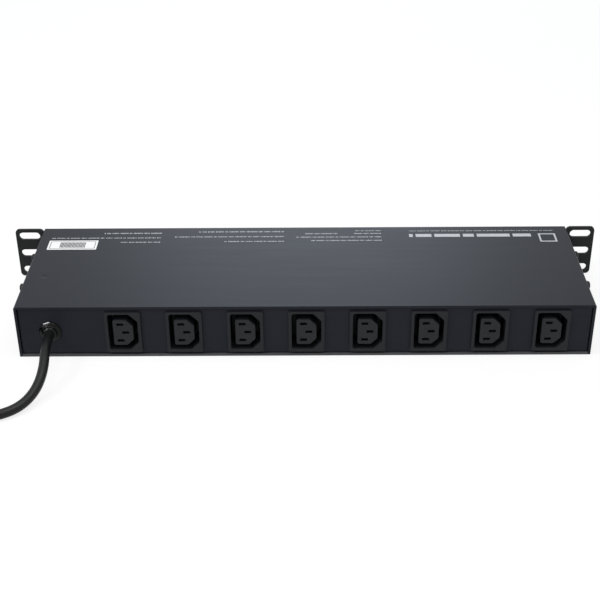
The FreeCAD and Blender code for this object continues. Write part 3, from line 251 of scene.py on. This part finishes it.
# PVC core insulation in the usual three colours: bright, with a soft shine
coreColours = {
    "line_pvc": ("#6b4327", "#7a4e2f"), "neutral_pvc": ("#1f4f9c", "#2a5cae"), "earth_pvc": ("#5c9a2b", "#74ae34"),
}
for slotName, pair in coreColours.items():
    finishes[slotName] = mottled("insulation" + slotName.split("_")[0].title(), {
        "shader": {"IOR": 1.52}, "colours": pair,
        "roughness": (0.34, 0.46), "driftSize": 6, "grainSize": 0.5, "bump": 0.06})
# nylon switch frame: fine spark-eroded black with a faint shine
finishes["switch_plastic"] = mottled("mouldedSwitchFrame", {
    "shader": {"IOR": 1.5, "Specular IOR Level": 0.45}, "colours": ("#141517", "#1b1c1e"),
    "roughness": (0.36, 0.46), "driftSize": 8, "grainSize": 0.35, "bump": 0.12})
# polished polycarbonate key: deep black that mirrors softly
finishes["rocker_plastic"] = mottled("glossyRockerKey", {
    "shader": {"IOR": 1.5}, "colours": ("#0c0d0e", "#121314"),
    "roughness": (0.14, 0.24), "driftSize": 7, "grainSize": 0.9, "bump": 0.03})
# pressed phenolic: brownish black, slightly mottled and dry
finishes["breaker_plastic"] = mottled("phenolicBreakerBody", {
    "shader": {"IOR": 1.55, "Specular IOR Level": 0.4}, "colours": ("#18191a", "#222324"),
    "roughness": (0.38, 0.52), "driftSize": 5, "grainSize": 0.4, "bump": 0.12})
# injection-moulded ABS button: clean off-white with a soft gloss
finishes["button_plastic"] = mottled("whiteResetButton", {
    "shader": {"IOR": 1.5}, "colours": ("#dcdbd6", "#e6e5e1"),
    "roughness": (0.22, 0.32), "driftSize": 5, "grainSize": 0.6, "bump": 0.03})
# glass-epoxy board: green mask over a woven laminate
finishes["board_laminate"] = mottled("greenSolderMask", {
    "shader": {"IOR": 1.5}, "colours": ("#1c5a2e", "#256b38"),
    "roughness": (0.26, 0.38), "driftSize": 5, "grainSize": 0.7, "bump": 0.08})
# potted display face: brownish black, so unlit segments don't show
finishes["digit_module"] = mottled("darkDisplayFace", {
    "shader": {"IOR": 1.5}, "colours": ("#1b1413", "#241a18"),
    "roughness": (0.34, 0.44), "driftSize": 6, "grainSize": 0.4, "bump": 0.06})
# vinyl label face: warm white, hardly any texture
finishes["label_paper"] = mottled("whiteVinylLabel", {
    "shader": {"IOR": 1.46, "Specular IOR Level": 0.3}, "colours": ("#c9caca", "#d6d6d6"),
    "roughness": (0.42, 0.55), "driftSize": 8, "grainSize": 0.4, "bump": 0.05})

# smoked red acrylic: clear enough to read the digits through, with faint wipe marks in its gloss
windowLook = {
    "Base Color": linear("#6b2f29"), "Transmission Weight": 0.95, "Roughness": 0.02,
    "IOR": 1.49, "Specular IOR Level": 0.25,
}
windowWipe = {"size": 14, "roughness": (0.0, 0.035)}
windowMaterial, windowTree, windowShader = newMaterial("smokedAcrylic", windowLook)
windowPlace = addNode(windowTree, "ShaderNodeTexCoord").outputs["Object"]
wipes = addNode(windowTree, "ShaderNodeTexNoise", None, {
    "Vector": windowPlace, "Scale": 1 / (windowWipe["size"] * mm), "Detail": 4.0})
wipeGloss = addNode(windowTree, "ShaderNodeMapRange", None, {
    "Value": wipes.outputs["Fac"], "From Min": 0.35, "From Max": 0.7,
    "To Min": windowWipe["roughness"][0], "To Max": windowWipe["roughness"][1]})
windowTree.links.new(wipeGloss.outputs["Result"], windowShader.inputs["Roughness"])
finishes["window_acrylic"] = windowMaterial

# screen-printed ink: slightly raised, a little worn to grey
inkMaterial = mottled("screenPrintedInk", {
    "shader": {"IOR": 1.48, "Specular IOR Level": 0.3}, "colours": ("#8b8e92", "#b4b7bb"),
    "roughness": (0.5, 0.62), "driftSize": 3, "grainSize": 0.4, "bump": 0.05})
# thermal label ink: soft black, nearly flat
labelInkMaterial = mottled("labelInk", {
    "shader": {"IOR": 1.48, "Specular IOR Level": 0.3}, "colours": ("#1c1d20", "#2b2c30"),
    "roughness": (0.45, 0.6), "driftSize": 3, "grainSize": 0.4, "bump": 0.03})
# lit display segments: an even red glow, a little hotter in patches
litLook = {"size": 1.5, "colours": ("#ff2a18", "#ff4a2c"), "strength": 5.0}
litMaterial, litTree, litShader = newMaterial("litSegment", {
    "Base Color": linear("#7a0f0a"), "Roughness": 0.4, "Emission Strength": litLook["strength"]})
litPlace = addNode(litTree, "ShaderNodeTexCoord").outputs["Object"]
litNoise = addNode(litTree, "ShaderNodeTexNoise", None, {"Vector": litPlace, "Scale": 1 / (litLook["size"] * mm)})
litTint = addNode(litTree, "ShaderNodeMix", {"data_type": "RGBA"}, {
    0: litNoise.outputs["Fac"], 6: linear(litLook["colours"][0]), 7: linear(litLook["colours"][1])})
litTree.links.new(litTint.outputs[2], litShader.inputs["Emission Color"])

# the base plate gets the coat painted lighter, painted light standing in for the shade near the floor
baseEdgePaintedLightFinish = mottled("baseEdgePaintedLight", baseEdgePaintedLightLook)
for nodeName, nodeObject in frame["nodes"].items():
    nodeObject.data.materials.clear()
    nodeObject.data.materials.append(baseEdgePaintedLightFinish if nodeName == "base_plate" else finishes[slotOf[nodeName]])
print("finishes:", len(finishes))


# the mains cord leaves the bushing, lies in a coil and ends in its plug
cordSizes = {
    "length": 1.8, "diameter": 0.0074, "exit": (0.1917, 0.0684, 0.022),
    "coilCentre": (0.292, 0.093), "rings": (0.0362, 0.0438, 0.0514), "layers": (0.0038, 0.0112),
    "turns": 5.2, "pointsPerTurn": 24,
}
toCoil = [
    (0.1917, 0.0684, 0.0220), (0.1917, 0.0860, 0.0220), (0.1900, 0.1036, 0.0156), (0.1930, 0.1204, 0.0086),
    (0.2012, 0.1348, 0.0048), (0.2140, 0.1443, 0.0039), (0.2304, 0.1479, 0.0038), (0.2484, 0.1476, 0.0038),
    (0.2664, 0.1460, 0.0038),
]
toPlug = [(0.3432, 0.0690, 0.0124), (0.3430, 0.0515, 0.0186), (0.3430, 0.0340, 0.0186)]


def coilRoute(sizes):
    # turns wind inwards on the lower layer, step up, and wind out again; each turn ends one ring over
    outer, middle, inner = sizes["rings"]
    low, top = sizes["layers"]
    steps = [  # turn, radius, height
        (0.83, outer, low), (1.0, middle, low), (1.83, middle, low), (2.0, inner, low), (2.67, inner, low),
        (2.83, inner, top), (3.5, inner, top), (3.67, middle, top), (4.5, middle, top), (4.67, outer, top),
        (sizes["turns"], outer, top),
    ]
    count = sizes["pointsPerTurn"]
    reach = 1 / math.cos(math.pi / count)  # the spline cuts inside its control points
    points = []
    for i in range(int(sizes["turns"] * count) + 1):
        turn = i / count
        before, after = (0.0, outer, low), steps[-1]
        for step in steps:
            if step[0] >= turn:
                after = step
                break
            before = step
        part = (turn - before[0]) / max(after[0] - before[0], 1e-6)
        part = part * part * (3 - 2 * part)
        radius = (before[1] + (after[1] - before[1]) * part) * reach
        height = before[2] + (after[2] - before[2]) * part
        angle = 2 * math.pi * turn
        centreX, centreY = sizes["coilCentre"]
        points.append((centreX + radius * math.sin(angle), centreY + radius * math.cos(angle), height))
    return points


cordPoints = toCoil + coilRoute(cordSizes) + toPlug
cordData = bpy.data.curves.new("powerCord", "CURVE")
cordData.dimensions = "3D"
cordData.bevel_depth, cordData.bevel_resolution = cordSizes["diameter"] / 2, 6
cordData.resolution_u = cordData.render_resolution_u = 6
cordData.use_fill_caps = True
cordLine = cordData.splines.new("NURBS")
cordLine.points.add(len(cordPoints) - 1)
for point, place in zip(cordLine.points, cordPoints):
    point.co = (*place, 1.0)
cordLine.order_u = 3
cordLine.use_endpoint_u = True
cordData.materials.append(finishes["cord_pvc"])
powerCord = bpy.data.objects.new("powerCord", cordData)
bpy.context.scene.collection.objects.link(powerCord)
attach(powerCord, "case")
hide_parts("cord_tube", "cord_coil")
print("cord:", len(cordPoints), "points")


# the plug at the far end
plugSizes = {
    "bodyEdge": 0.7, "pinEdge": 0.3, "clipEdge": 0.25,
    "sleeveLong": 24.0, "sleeveWide": 6.5, "sleeveThin": 4.6,
    "rib": 2.2, "groove": 1.4, "grooveDeep": 0.9, "step": 0.5,
}

plugShell = eased("plug_body", "plugShell", plugSizes["bodyEdge"], segments=3)
plugPins = eased("plug_pins", "plugPins", plugSizes["pinEdge"])
plugClips = eased("plug_earth_clips", "plugClips", plugSizes["clipEdge"])


def cordPath():
    # the cord's own middle line, from the plug's end back
    lineData = cordData.copy()
    lineData.bevel_depth, lineData.resolution_u, lineData.render_resolution_u = 0, 24, 24
    line = bpy.data.objects.new("cordMiddle", lineData)
    bpy.context.scene.collection.objects.link(line)
    bpy.context.view_layer.update()
    path = bpy.data.meshes.new_from_object(line.evaluated_get(bpy.context.evaluated_depsgraph_get()))
    points = [v.co.copy() for v in path.vertices]
    bpy.data.objects.remove(line)
    return points[::-1]


def alongPath(points, distance):
    # the place that is so far along the line
    for start, end in zip(points, points[1:]):
        long = (end - start).length
        if distance <= long:
            return start.lerp(end, distance / max(long, 1e-9))
        distance -= long
    return points[-1]


# ribbed sleeve that grips the cord where it enters the plug, and bends with it
sleeveData = bpy.data.curves.new("sleeveLine", "CURVE")
sleeveData.dimensions, sleeveData.use_fill_caps = "3D", True
sleeveData.bevel_depth, sleeveData.bevel_resolution = mm, 10
sleeveLine = sleeveData.splines.new("POLY")
sleeveSteps = int(plugSizes["sleeveLong"] / plugSizes["step"])
sleeveLine.points.add(sleeveSteps)
middleLine = cordPath()
for index, point in enumerate(sleeveLine.points):
    distance = index * plugSizes["step"]
    part = distance / plugSizes["sleeveLong"]
    inGroove = distance % (plugSizes["rib"] + plugSizes["groove"]) >= plugSizes["rib"]
    point.co = (*alongPath(middleLine, distance * mm), 1.0)
    dip = plugSizes["grooveDeep"] * (1 - part) if inGroove else 0  # the grooves run out towards the thin end
    point.radius = plugSizes["sleeveWide"] + (plugSizes["sleeveThin"] - plugSizes["sleeveWide"]) * part - dip
sleeveObject = bpy.data.objects.new("sleeveLine", sleeveData)
bpy.context.scene.collection.objects.link(sleeveObject)
bpy.context.view_layer.update()
sleeve = bmesh.new()
sleeveNow = sleeveObject.evaluated_get(bpy.context.evaluated_depsgraph_get())
sleeve.from_mesh(bpy.data.meshes.new_from_object(sleeveNow))
bpy.data.objects.remove(sleeveObject)
bmesh.ops.remove_doubles(sleeve, verts=sleeve.verts, dist=0.001 * mm)
bmesh.ops.recalc_face_normals(sleeve, faces=sleeve.faces)
plugSleeve = newPiece("plugSleeve", sleeve, "case", finishes["plug_plastic"], smooth=50)
print("plug made")


# snap-in bushing in the rear panel
bushingSizes = {
    "place": (0.1917, 0.0634, 0.0220), "flange": 8.5, "nose": 5.7, "bore": 3.72, "out": 4.9,
    "flatFacing": (0.242, 0.655, 0.716), "flatAt": 6.2,
}

bushing = bmesh.new()
flange, nose = bushingSizes["flange"], bushingSizes["nose"]
bore, out = bushingSizes["bore"], bushingSizes["out"]
lathe(bushing, [
    # tail and snap barb, inside the case
    (bore, -9.0), (6.3, -9.0), (8.2, -1.65), (7.65, -1.6), (7.65, 0.0),
    # rounded flange
    (flange - 0.1, 0.0), (flange, 0.2), (flange, 0.6), (flange - 0.15, 1.0), (flange - 0.5, 1.4), (flange - 1.1, 1.7),
    # domed nose
    (nose + 0.9, 1.9), (nose + 0.3, 2.2), (nose, 2.7), (nose - 0.05, out - 1.8), (nose - 0.2, out - 1.2),
    (nose - 0.5, out - 0.7), (nose - 0.95, out - 0.3), (nose - 1.5, out), (bore, out), (bore, -9.0)],
    bushingSizes["place"], (0, 1, 0), steps=64)
# the flat that the fitting pliers leave on the nose
flatFacing = Vector(bushingSizes["flatFacing"])
bmesh.ops.bisect_plane(
    bushing, geom=bushing.verts[:] + bushing.edges[:] + bushing.faces[:], dist=0.0005 * mm, clear_outer=True,
    plane_co=Vector(bushingSizes["place"]) + flatFacing * bushingSizes["flatAt"] * mm, plane_no=flatFacing)
bmesh.ops.holes_fill(bushing, edges=[e for e in bushing.edges if e.is_boundary], sides=0)
bmesh.ops.recalc_face_normals(bushing, faces=bushing.faces)
cordBushing = newPiece("cordBushing", bushing, "case", finishes["relief_plastic"], smooth=50)
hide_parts("strain_relief")
print("bushing made")


# folded sheet, with the soft edges that a coat leaves
caseSizes = {"coverEdge": 0.25, "earEdge": 0.3}

eased("top_cover", "topShell", caseSizes["coverEdge"])
eased("ear_left", "leftEar", caseSizes["earEdge"])
eased("ear_right", "rightEar", caseSizes["earEdge"])
print("case made")


# pan-head screws in the cover's sides
screwSizes = {
    "head": 3.4, "high": 3.4, "shank": 1.95, "long": 8.0, "lead": 0.6,
    "cross": 3.6, "crossWidth": 0.85, "crossDeep": 1.6,
    "fromRear": (40.0, 88.0), "seatHeight": 37.5,
}


def addScrew(mesh, seat, outward):
    # a domed head with a cross recess, built along +Z and then laid on its seat
    head, high, shank = screwSizes["head"], screwSizes["high"], screwSizes["shank"]
    tip, lead, cross = -screwSizes["long"], screwSizes["lead"], screwSizes["cross"] / 2
    one = bmesh.new()
    lathe(one, [
        (0, tip + lead), (shank - lead, tip + lead), (shank, tip + 2 * lead), (shank, 0), (head, 0),
        (head, high - 1.5), (head - 0.15, high - 0.9), (head - 0.5, high - 0.45), (head - 1.1, high - 0.12),
        (head - 1.8, high), (0, high)],
        (0, 0, 0), (0, 0, 1), steps=32)
    data = bpy.data.meshes.new("screwBlank")
    one.to_mesh(data)
    one.free()
    blank = bpy.data.objects.new("screwBlank", data)
    cutter = bmesh.new()
    narrow = screwSizes["crossWidth"] / 2
    for quarter in (0, 90):
        addBlock(cutter, (-cross, -narrow, high - screwSizes["crossDeep"]), (cross, narrow, high + 1),
                 Matrix.Rotation(math.radians(quarter), 3, "Z"))
    cutterData = bpy.data.meshes.new("crossCutter")
    cutter.to_mesh(cutterData)
    cutter.free()
    cutterObject = bpy.data.objects.new("crossCutter", cutterData)
    for loose in (blank, cutterObject):
        bpy.context.scene.collection.objects.link(loose)
    recess = blank.modifiers.new("recess", "BOOLEAN")
    recess.object, recess.operation = cutterObject, "DIFFERENCE"
    recess.solver, recess.use_self = "EXACT", True
    bpy.context.view_layer.update()
    finished = bpy.data.meshes.new_from_object(blank.evaluated_get(bpy.context.evaluated_depsgraph_get()))
    start = len(mesh.verts)
    mesh.from_mesh(finished)
    mesh.verts.ensure_lookup_table()
    made = mesh.verts[start:]
    turn = Vector((0, 0, 1)).rotation_difference(Vector(outward)).to_matrix()
    bmesh.ops.rotate(mesh, cent=(0, 0, 0), matrix=turn, verts=made)
    bmesh.ops.translate(mesh, vec=Vector(seat), verts=made)
    for loose in (blank, cutterObject):
        bpy.data.objects.remove(loose)


coverLow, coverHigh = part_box("top_cover")
screws = bmesh.new()
for side in (-1, 1):
    for fromRear in screwSizes["fromRear"]:
        seatX = coverHigh.x if side > 0 else coverLow.x
        addScrew(screws, (seatX, coverHigh.y - fromRear * mm, screwSizes["seatHeight"] * mm), (side, 0, 0))
coverScrews = newPiece("coverScrews", screws, "case", finishes["screw_black"], smooth=35)
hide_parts("cover_screws")
print("screws made")


# plain print on the cover, which spells nothing
printSizes = {
    "sunk": 0.02, "proud": 0.06,
    # left and right edges along X, the row's distance from the rear rim, and its height, in millimetres
    "rows": [
        (118, 151, 102.0, 1.6), (118, 208, 109.5, 1.5), (118, 166, 117.6, 2.0),
        (17, 66, 102.5, 1.6), (17, 107, 110.8, 1.6), (17, 88, 119.5, 1.9),
        (-63, -5, 103.5, 1.6), (-63, 7, 109.5, 1.6), (-27, 0, 115.5, 1.6),
        (-63, -40, 115.5, 1.6), (-63, -42, 120.3, 1.2),
        (-205, -86, 119.5, 1.1),
    ],
    "groups": (5, 3, 8, 4, 7, 2, 6), "tick": 0.75, "tickGap": 0.4, "wordGap": 0.9, "lowTick": 0.7,
    "block": (-186, -86, 111.5, 5.0), "blockLengths": (15.0, 27.0, 9.0, 21.0, 13.0),
    "blockGap": 2.4, "blockLeast": 1.0,
    # corners of an open square's four bars, from the rear rim
    "square": [
        ((-206, -114), (-192, -112.6)), ((-206, -101.4), (-192, -100)),
        ((-206, -112.6), (-204.6, -101.4)), ((-193.4, -112.6), (-192, -101.4)),
    ],
}

rules = bmesh.new()
topZ = coverHigh.z / mm
rearY = coverHigh.y / mm


def addInk(mesh, low, high, surface, proud):
    # a film of ink between two corners of a level surface
    addBlock(mesh, (*low, surface - printSizes["sunk"]), (*high, surface + proud))


for row, (left, right, back, high) in enumerate(printSizes["rows"]):
    # a row is groups of short ticks, so that it reads as fine print and says nothing
    at, index = left, row
    while at < right - printSizes["tick"]:
        for tick in range(printSizes["groups"][index % len(printSizes["groups"])]):
            if at > right - printSizes["tick"]:
                break
            tall = high * (1.0 if (tick + index) % 3 == 0 else printSizes["lowTick"])
            addInk(rules, (at, rearY - back - tall / 2), (at + printSizes["tick"], rearY - back + tall / 2),
                   topZ, printSizes["proud"])
            at += printSizes["tick"] + printSizes["tickGap"]
        at += printSizes["wordGap"]
        index += 1
at, right, back, high = printSizes["block"]
index = 0
while at < right - printSizes["blockLeast"]:
    long = min(printSizes["blockLengths"][index % len(printSizes["blockLengths"])], right - at)
    addInk(rules, (at, rearY - back - high / 2), (at + long, rearY - back + high / 2), topZ, printSizes["proud"])
    at += long + printSizes["blockGap"]
    index += 1
for low, high in printSizes["square"]:
    addInk(rules, (low[0], rearY + low[1]), (high[0], rearY + high[1]), topZ, printSizes["proud"])
newPiece("coverRules", rules, "case", inkMaterial)

# the label carries a frame and evenly spaced bars, all alike, so they hold no code
labelSizes = {"inset": 1.6, "line": 0.5, "bars": 19, "barPitch": 1.1, "barWide": 0.72, "barInset": 1.6, "proud": 0.02}

labelLow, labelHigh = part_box("serial_label")
labelInk = bmesh.new()
inset, line = labelSizes["inset"], labelSizes["line"]
x0, x1 = labelLow.x / mm + inset, labelHigh.x / mm - inset
y0, y1 = labelLow.y / mm + inset, labelHigh.y / mm - inset
labelTop = labelHigh.z / mm
frameBars = [
    ((x0, y0), (x1, y0 + line)), ((x0, y1 - line), (x1, y1)),
    ((x0, y0 + line), (x0 + line, y1 - line)), ((x1 - line, y0 + line), (x1, y1 - line)),
]
for low, high in frameBars:
    addInk(labelInk, low, high, labelTop, labelSizes["proud"])
middle, halfBar = (x0 + x1) / 2, labelSizes["barWide"] / 2
for bar in range(labelSizes["bars"]):
    x = middle + (bar - labelSizes["bars"] // 2) * labelSizes["barPitch"]
    addInk(labelInk, (x - halfBar, y0 + labelSizes["barInset"]), (x + halfBar, y1 - labelSizes["barInset"]),
           labelTop, labelSizes["proud"])
newPiece("labelFrame", labelInk, "case", labelInkMaterial)
print("print made")


# eight outlets, each a housing and a core
outletSizes = {"shellEdge": 0.3, "coreEdge": 0.3}

for number in range(1, 9):
    eased(f"outlet_housing_{number}", f"outletShell{number}", outletSizes["shellEdge"])
    eased(f"outlet_core_{number}", f"outletCore{number}", outletSizes["coreEdge"])
print("outlets made")


# the front: switch, breaker and meter
frontSizes = {"frameEdge": 0.35, "keyEdge": 0.5, "nutEdge": 0.35, "buttonEdge": 0.4}

eased("switch_housing", "switchFrame", frontSizes["frameEdge"])
eased("switch_rocker", "rockerKey", frontSizes["keyEdge"], body="rocker", segments=3)
eased("breaker_nut", "resetNut", frontSizes["nutEdge"])
eased("breaker_button", "resetButton", frontSizes["buttonEdge"], body="reset_button", segments=3)


# on and off marks on the key, printed on its two sloping faces and turned with it
markSizes = {
    "pivot": (178.0, -58.4, 22.0), "tilt": 12.0, "faceY": -6.13, "faceZ": 6.0, "slope": 6.0,
    "bar": (0.45, 2.0), "ring": (1.45, 2.05), "thick": 0.1,
}


def placeMark(mesh, verts, up):
    # onto the upper or lower face of an untilted key
    slope = Matrix.Rotation(math.radians(markSizes["slope"]) * up, 3, "X")
    bmesh.ops.rotate(mesh, cent=(0, 0, 0), matrix=slope, verts=verts)
    bmesh.ops.translate(mesh, vec=Vector((0, markSizes["faceY"], markSizes["faceZ"] * up)) * mm, verts=verts)


marks = bmesh.new()
half, tall = markSizes["bar"]
thick = markSizes["thick"]
bar = addBlock(marks, (-half, -thick, -tall), (half, thick, tall))
placeMark(marks, bar, 1)
earlier = set(marks.verts)
inner, outer = markSizes["ring"]
lathe(marks, [(inner, -thick), (outer, -thick), (outer, thick), (inner, thick), (inner, -thick)],
      (0, 0, 0), (0, 1, 0), steps=40)
placeMark(marks, [v for v in marks.verts if v not in earlier], -1)
tilt = Matrix.Rotation(math.radians(markSizes["tilt"]), 3, "X")
bmesh.ops.rotate(marks, cent=(0, 0, 0), matrix=tilt, verts=marks.verts)
bmesh.ops.translate(marks, vec=Vector(markSizes["pivot"]) * mm, verts=marks.verts)
newPiece("rockerMarks", marks, "rocker", inkMaterial)


# seven-segment digits, lit behind the window
digitSizes = {"high": 9.0, "wide": 5.0, "stroke": 0.9, "gap": 0.3, "pitch": 7.4, "sunk": 0.02, "proud": 0.12}
segmentsOf = {"2": "abged", "3": "abgcd", "0": "abcdef", "1": "bc", "6": "afgcde"}


def addDigit(mesh, digit, centreX, centreZ, faceY):
    # the face looks towards -Y, so its right-hand side is at +X
    w, h = digitSizes["wide"] / 2, digitSizes["high"] / 2
    t, gap = digitSizes["stroke"] / 2, digitSizes["gap"]
    bars = {
        "a": ((-w + t, h - t), (w - t, h + t)),
        "g": ((-w + t, -t), (w - t, t)),
        "d": ((-w + t, -h - t), (w - t, -h + t)),
        "f": ((-w - t, gap), (-w + t, h - gap)),
        "b": ((w - t, gap), (w + t, h - gap)),
        "e": ((-w - t, -h + gap), (-w + t, -gap)),
        "c": ((w - t, -h + gap), (w + t, -gap)),
    }
    for bar in segmentsOf[digit]:
        (ax, az), (bx, bz) = bars[bar]
        addBlock(mesh, (centreX + ax, faceY - digitSizes["proud"], centreZ + az),
                 (centreX + bx, faceY + digitSizes["sunk"], centreZ + bz))


for node, name, digits in (("volt_digits", "voltSegments", "230"), ("amp_digits", "ampSegments", "16")):
    low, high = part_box(node)
    middleX, middleZ, faceY = (low.x + high.x) / 2 / mm, (low.z + high.z) / 2 / mm, low.y / mm
    lit = bmesh.new()
    for index, digit in enumerate(digits):
        along = (index - (len(digits) - 1) / 2) * digitSizes["pitch"]
        addDigit(lit, digit, middleX + along, middleZ, faceY)
    newPiece(name, lit, "case", litMaterial)
print("front made")


# a white sweep, a white world and four lamps
lightSizes = {
    "floor": 6.0, "floorDrop": 0.0002, "floorGlow": 0.8, "worldDiffuse": 0.62,
    "paper": "#e9e9e9", "cool": (0.80, 0.89, 1.0),
    # place, aim, width, depth, watts
    "overhead": ((0.0, 0.25, 1.25), (0, 0, 0), 1.5, 0.9, 12.0),
    "behind": ((0.0, -1.5, 0.66), (0, 0, 0.02), 0.7, 0.36, 5.0),
    "left": ((1.3, 0.9, 0.9), (0.1, 0, 0.02), 0.7, 0.7, 5.0),
    "key": ((1.05, 0.50, 1.0), (0.19, 0.07, 0.02), 0.16, 0.16, 4.5),
}

floorMesh = bmesh.new()
bmesh.ops.create_grid(floorMesh, x_segments=1, y_segments=1, size=lightSizes["floor"])
floorData = bpy.data.meshes.new("floor")
floorMesh.to_mesh(floorData)
floorMesh.free()
floor = bpy.data.objects.new("floor", floorData)
floor.location.z = cadBox[0].z - lightSizes["floorDrop"]
bpy.context.scene.collection.objects.link(floor)


def seenDirectly(tree):
    # 1 for rays that the camera, a mirror or clear plastic sends, and 0 for those that light the strip
    rays = addNode(tree, "ShaderNodeLightPath")
    seen = addNode(tree, "ShaderNodeMath", {"operation": "MAXIMUM"}, {
        0: rays.outputs["Is Camera Ray"], 1: rays.outputs["Is Glossy Ray"]})
    through = addNode(tree, "ShaderNodeMath", {"operation": "MAXIMUM"}, {
        0: seen.outputs[0], 1: rays.outputs["Is Transmission Ray"]})
    return through.outputs[0]


# matt paper that shows as white but still takes the strip's shadow
paper = bpy.data.materials.new("whitePaperSweep")
paper.use_nodes = True
paperTree = paper.node_tree
paperTree.nodes.clear()
glow = addNode(paperTree, "ShaderNodeMath", {"operation": "MULTIPLY"}, {
    0: seenDirectly(paperTree), 1: lightSizes["floorGlow"]})
matt = addNode(paperTree, "ShaderNodeBsdfDiffuse", None, {"Color": linear(lightSizes["paper"])})
white = addNode(paperTree, "ShaderNodeEmission", None, {"Color": (1, 1, 1, 1), "Strength": 1.0})
blend = addNode(paperTree, "ShaderNodeMixShader", None, {0: glow.outputs[0], 1: matt.outputs[0], 2: white.outputs[0]})
addNode(paperTree, "ShaderNodeOutputMaterial", None, {"Surface": blend.outputs[0]})
floorData.materials.append(paper)

world = bpy.data.worlds.new("studio")
world.use_nodes = True
bpy.context.scene.world = world
worldTree = world.node_tree
worldTree.nodes.clear()
worldLight = addNode(worldTree, "ShaderNodeMapRange", None, {
    "Value": seenDirectly(worldTree), "To Min": lightSizes["worldDiffuse"], "To Max": 1.0})
background = addNode(worldTree, "ShaderNodeBackground", None, {
    "Color": (1, 1, 1, 1), "Strength": worldLight.outputs["Result"]})
addNode(worldTree, "ShaderNodeOutputWorld", None, {"Surface": background.outputs[0]})

for name in ("overhead", "behind", "left", "key"):
    place, aim, width, depth, power = lightSizes[name]
    lampData = bpy.data.lights.new(name, "AREA")
    lampData.shape, lampData.energy = "RECTANGLE", power
    lampData.size, lampData.size_y = width, depth
    lampData.color = lightSizes["cool"] if name == "behind" else (1, 1, 1)
    lamp = bpy.data.objects.new(name, lampData)
    lamp.location = place
    lamp.rotation_euler = (Vector(aim) - Vector(place)).to_track_quat("-Z", "Y").to_euler()
    bpy.context.scene.collection.objects.link(lamp)
bpy.context.scene.view_settings.view_transform = "Standard"
print("stage made")
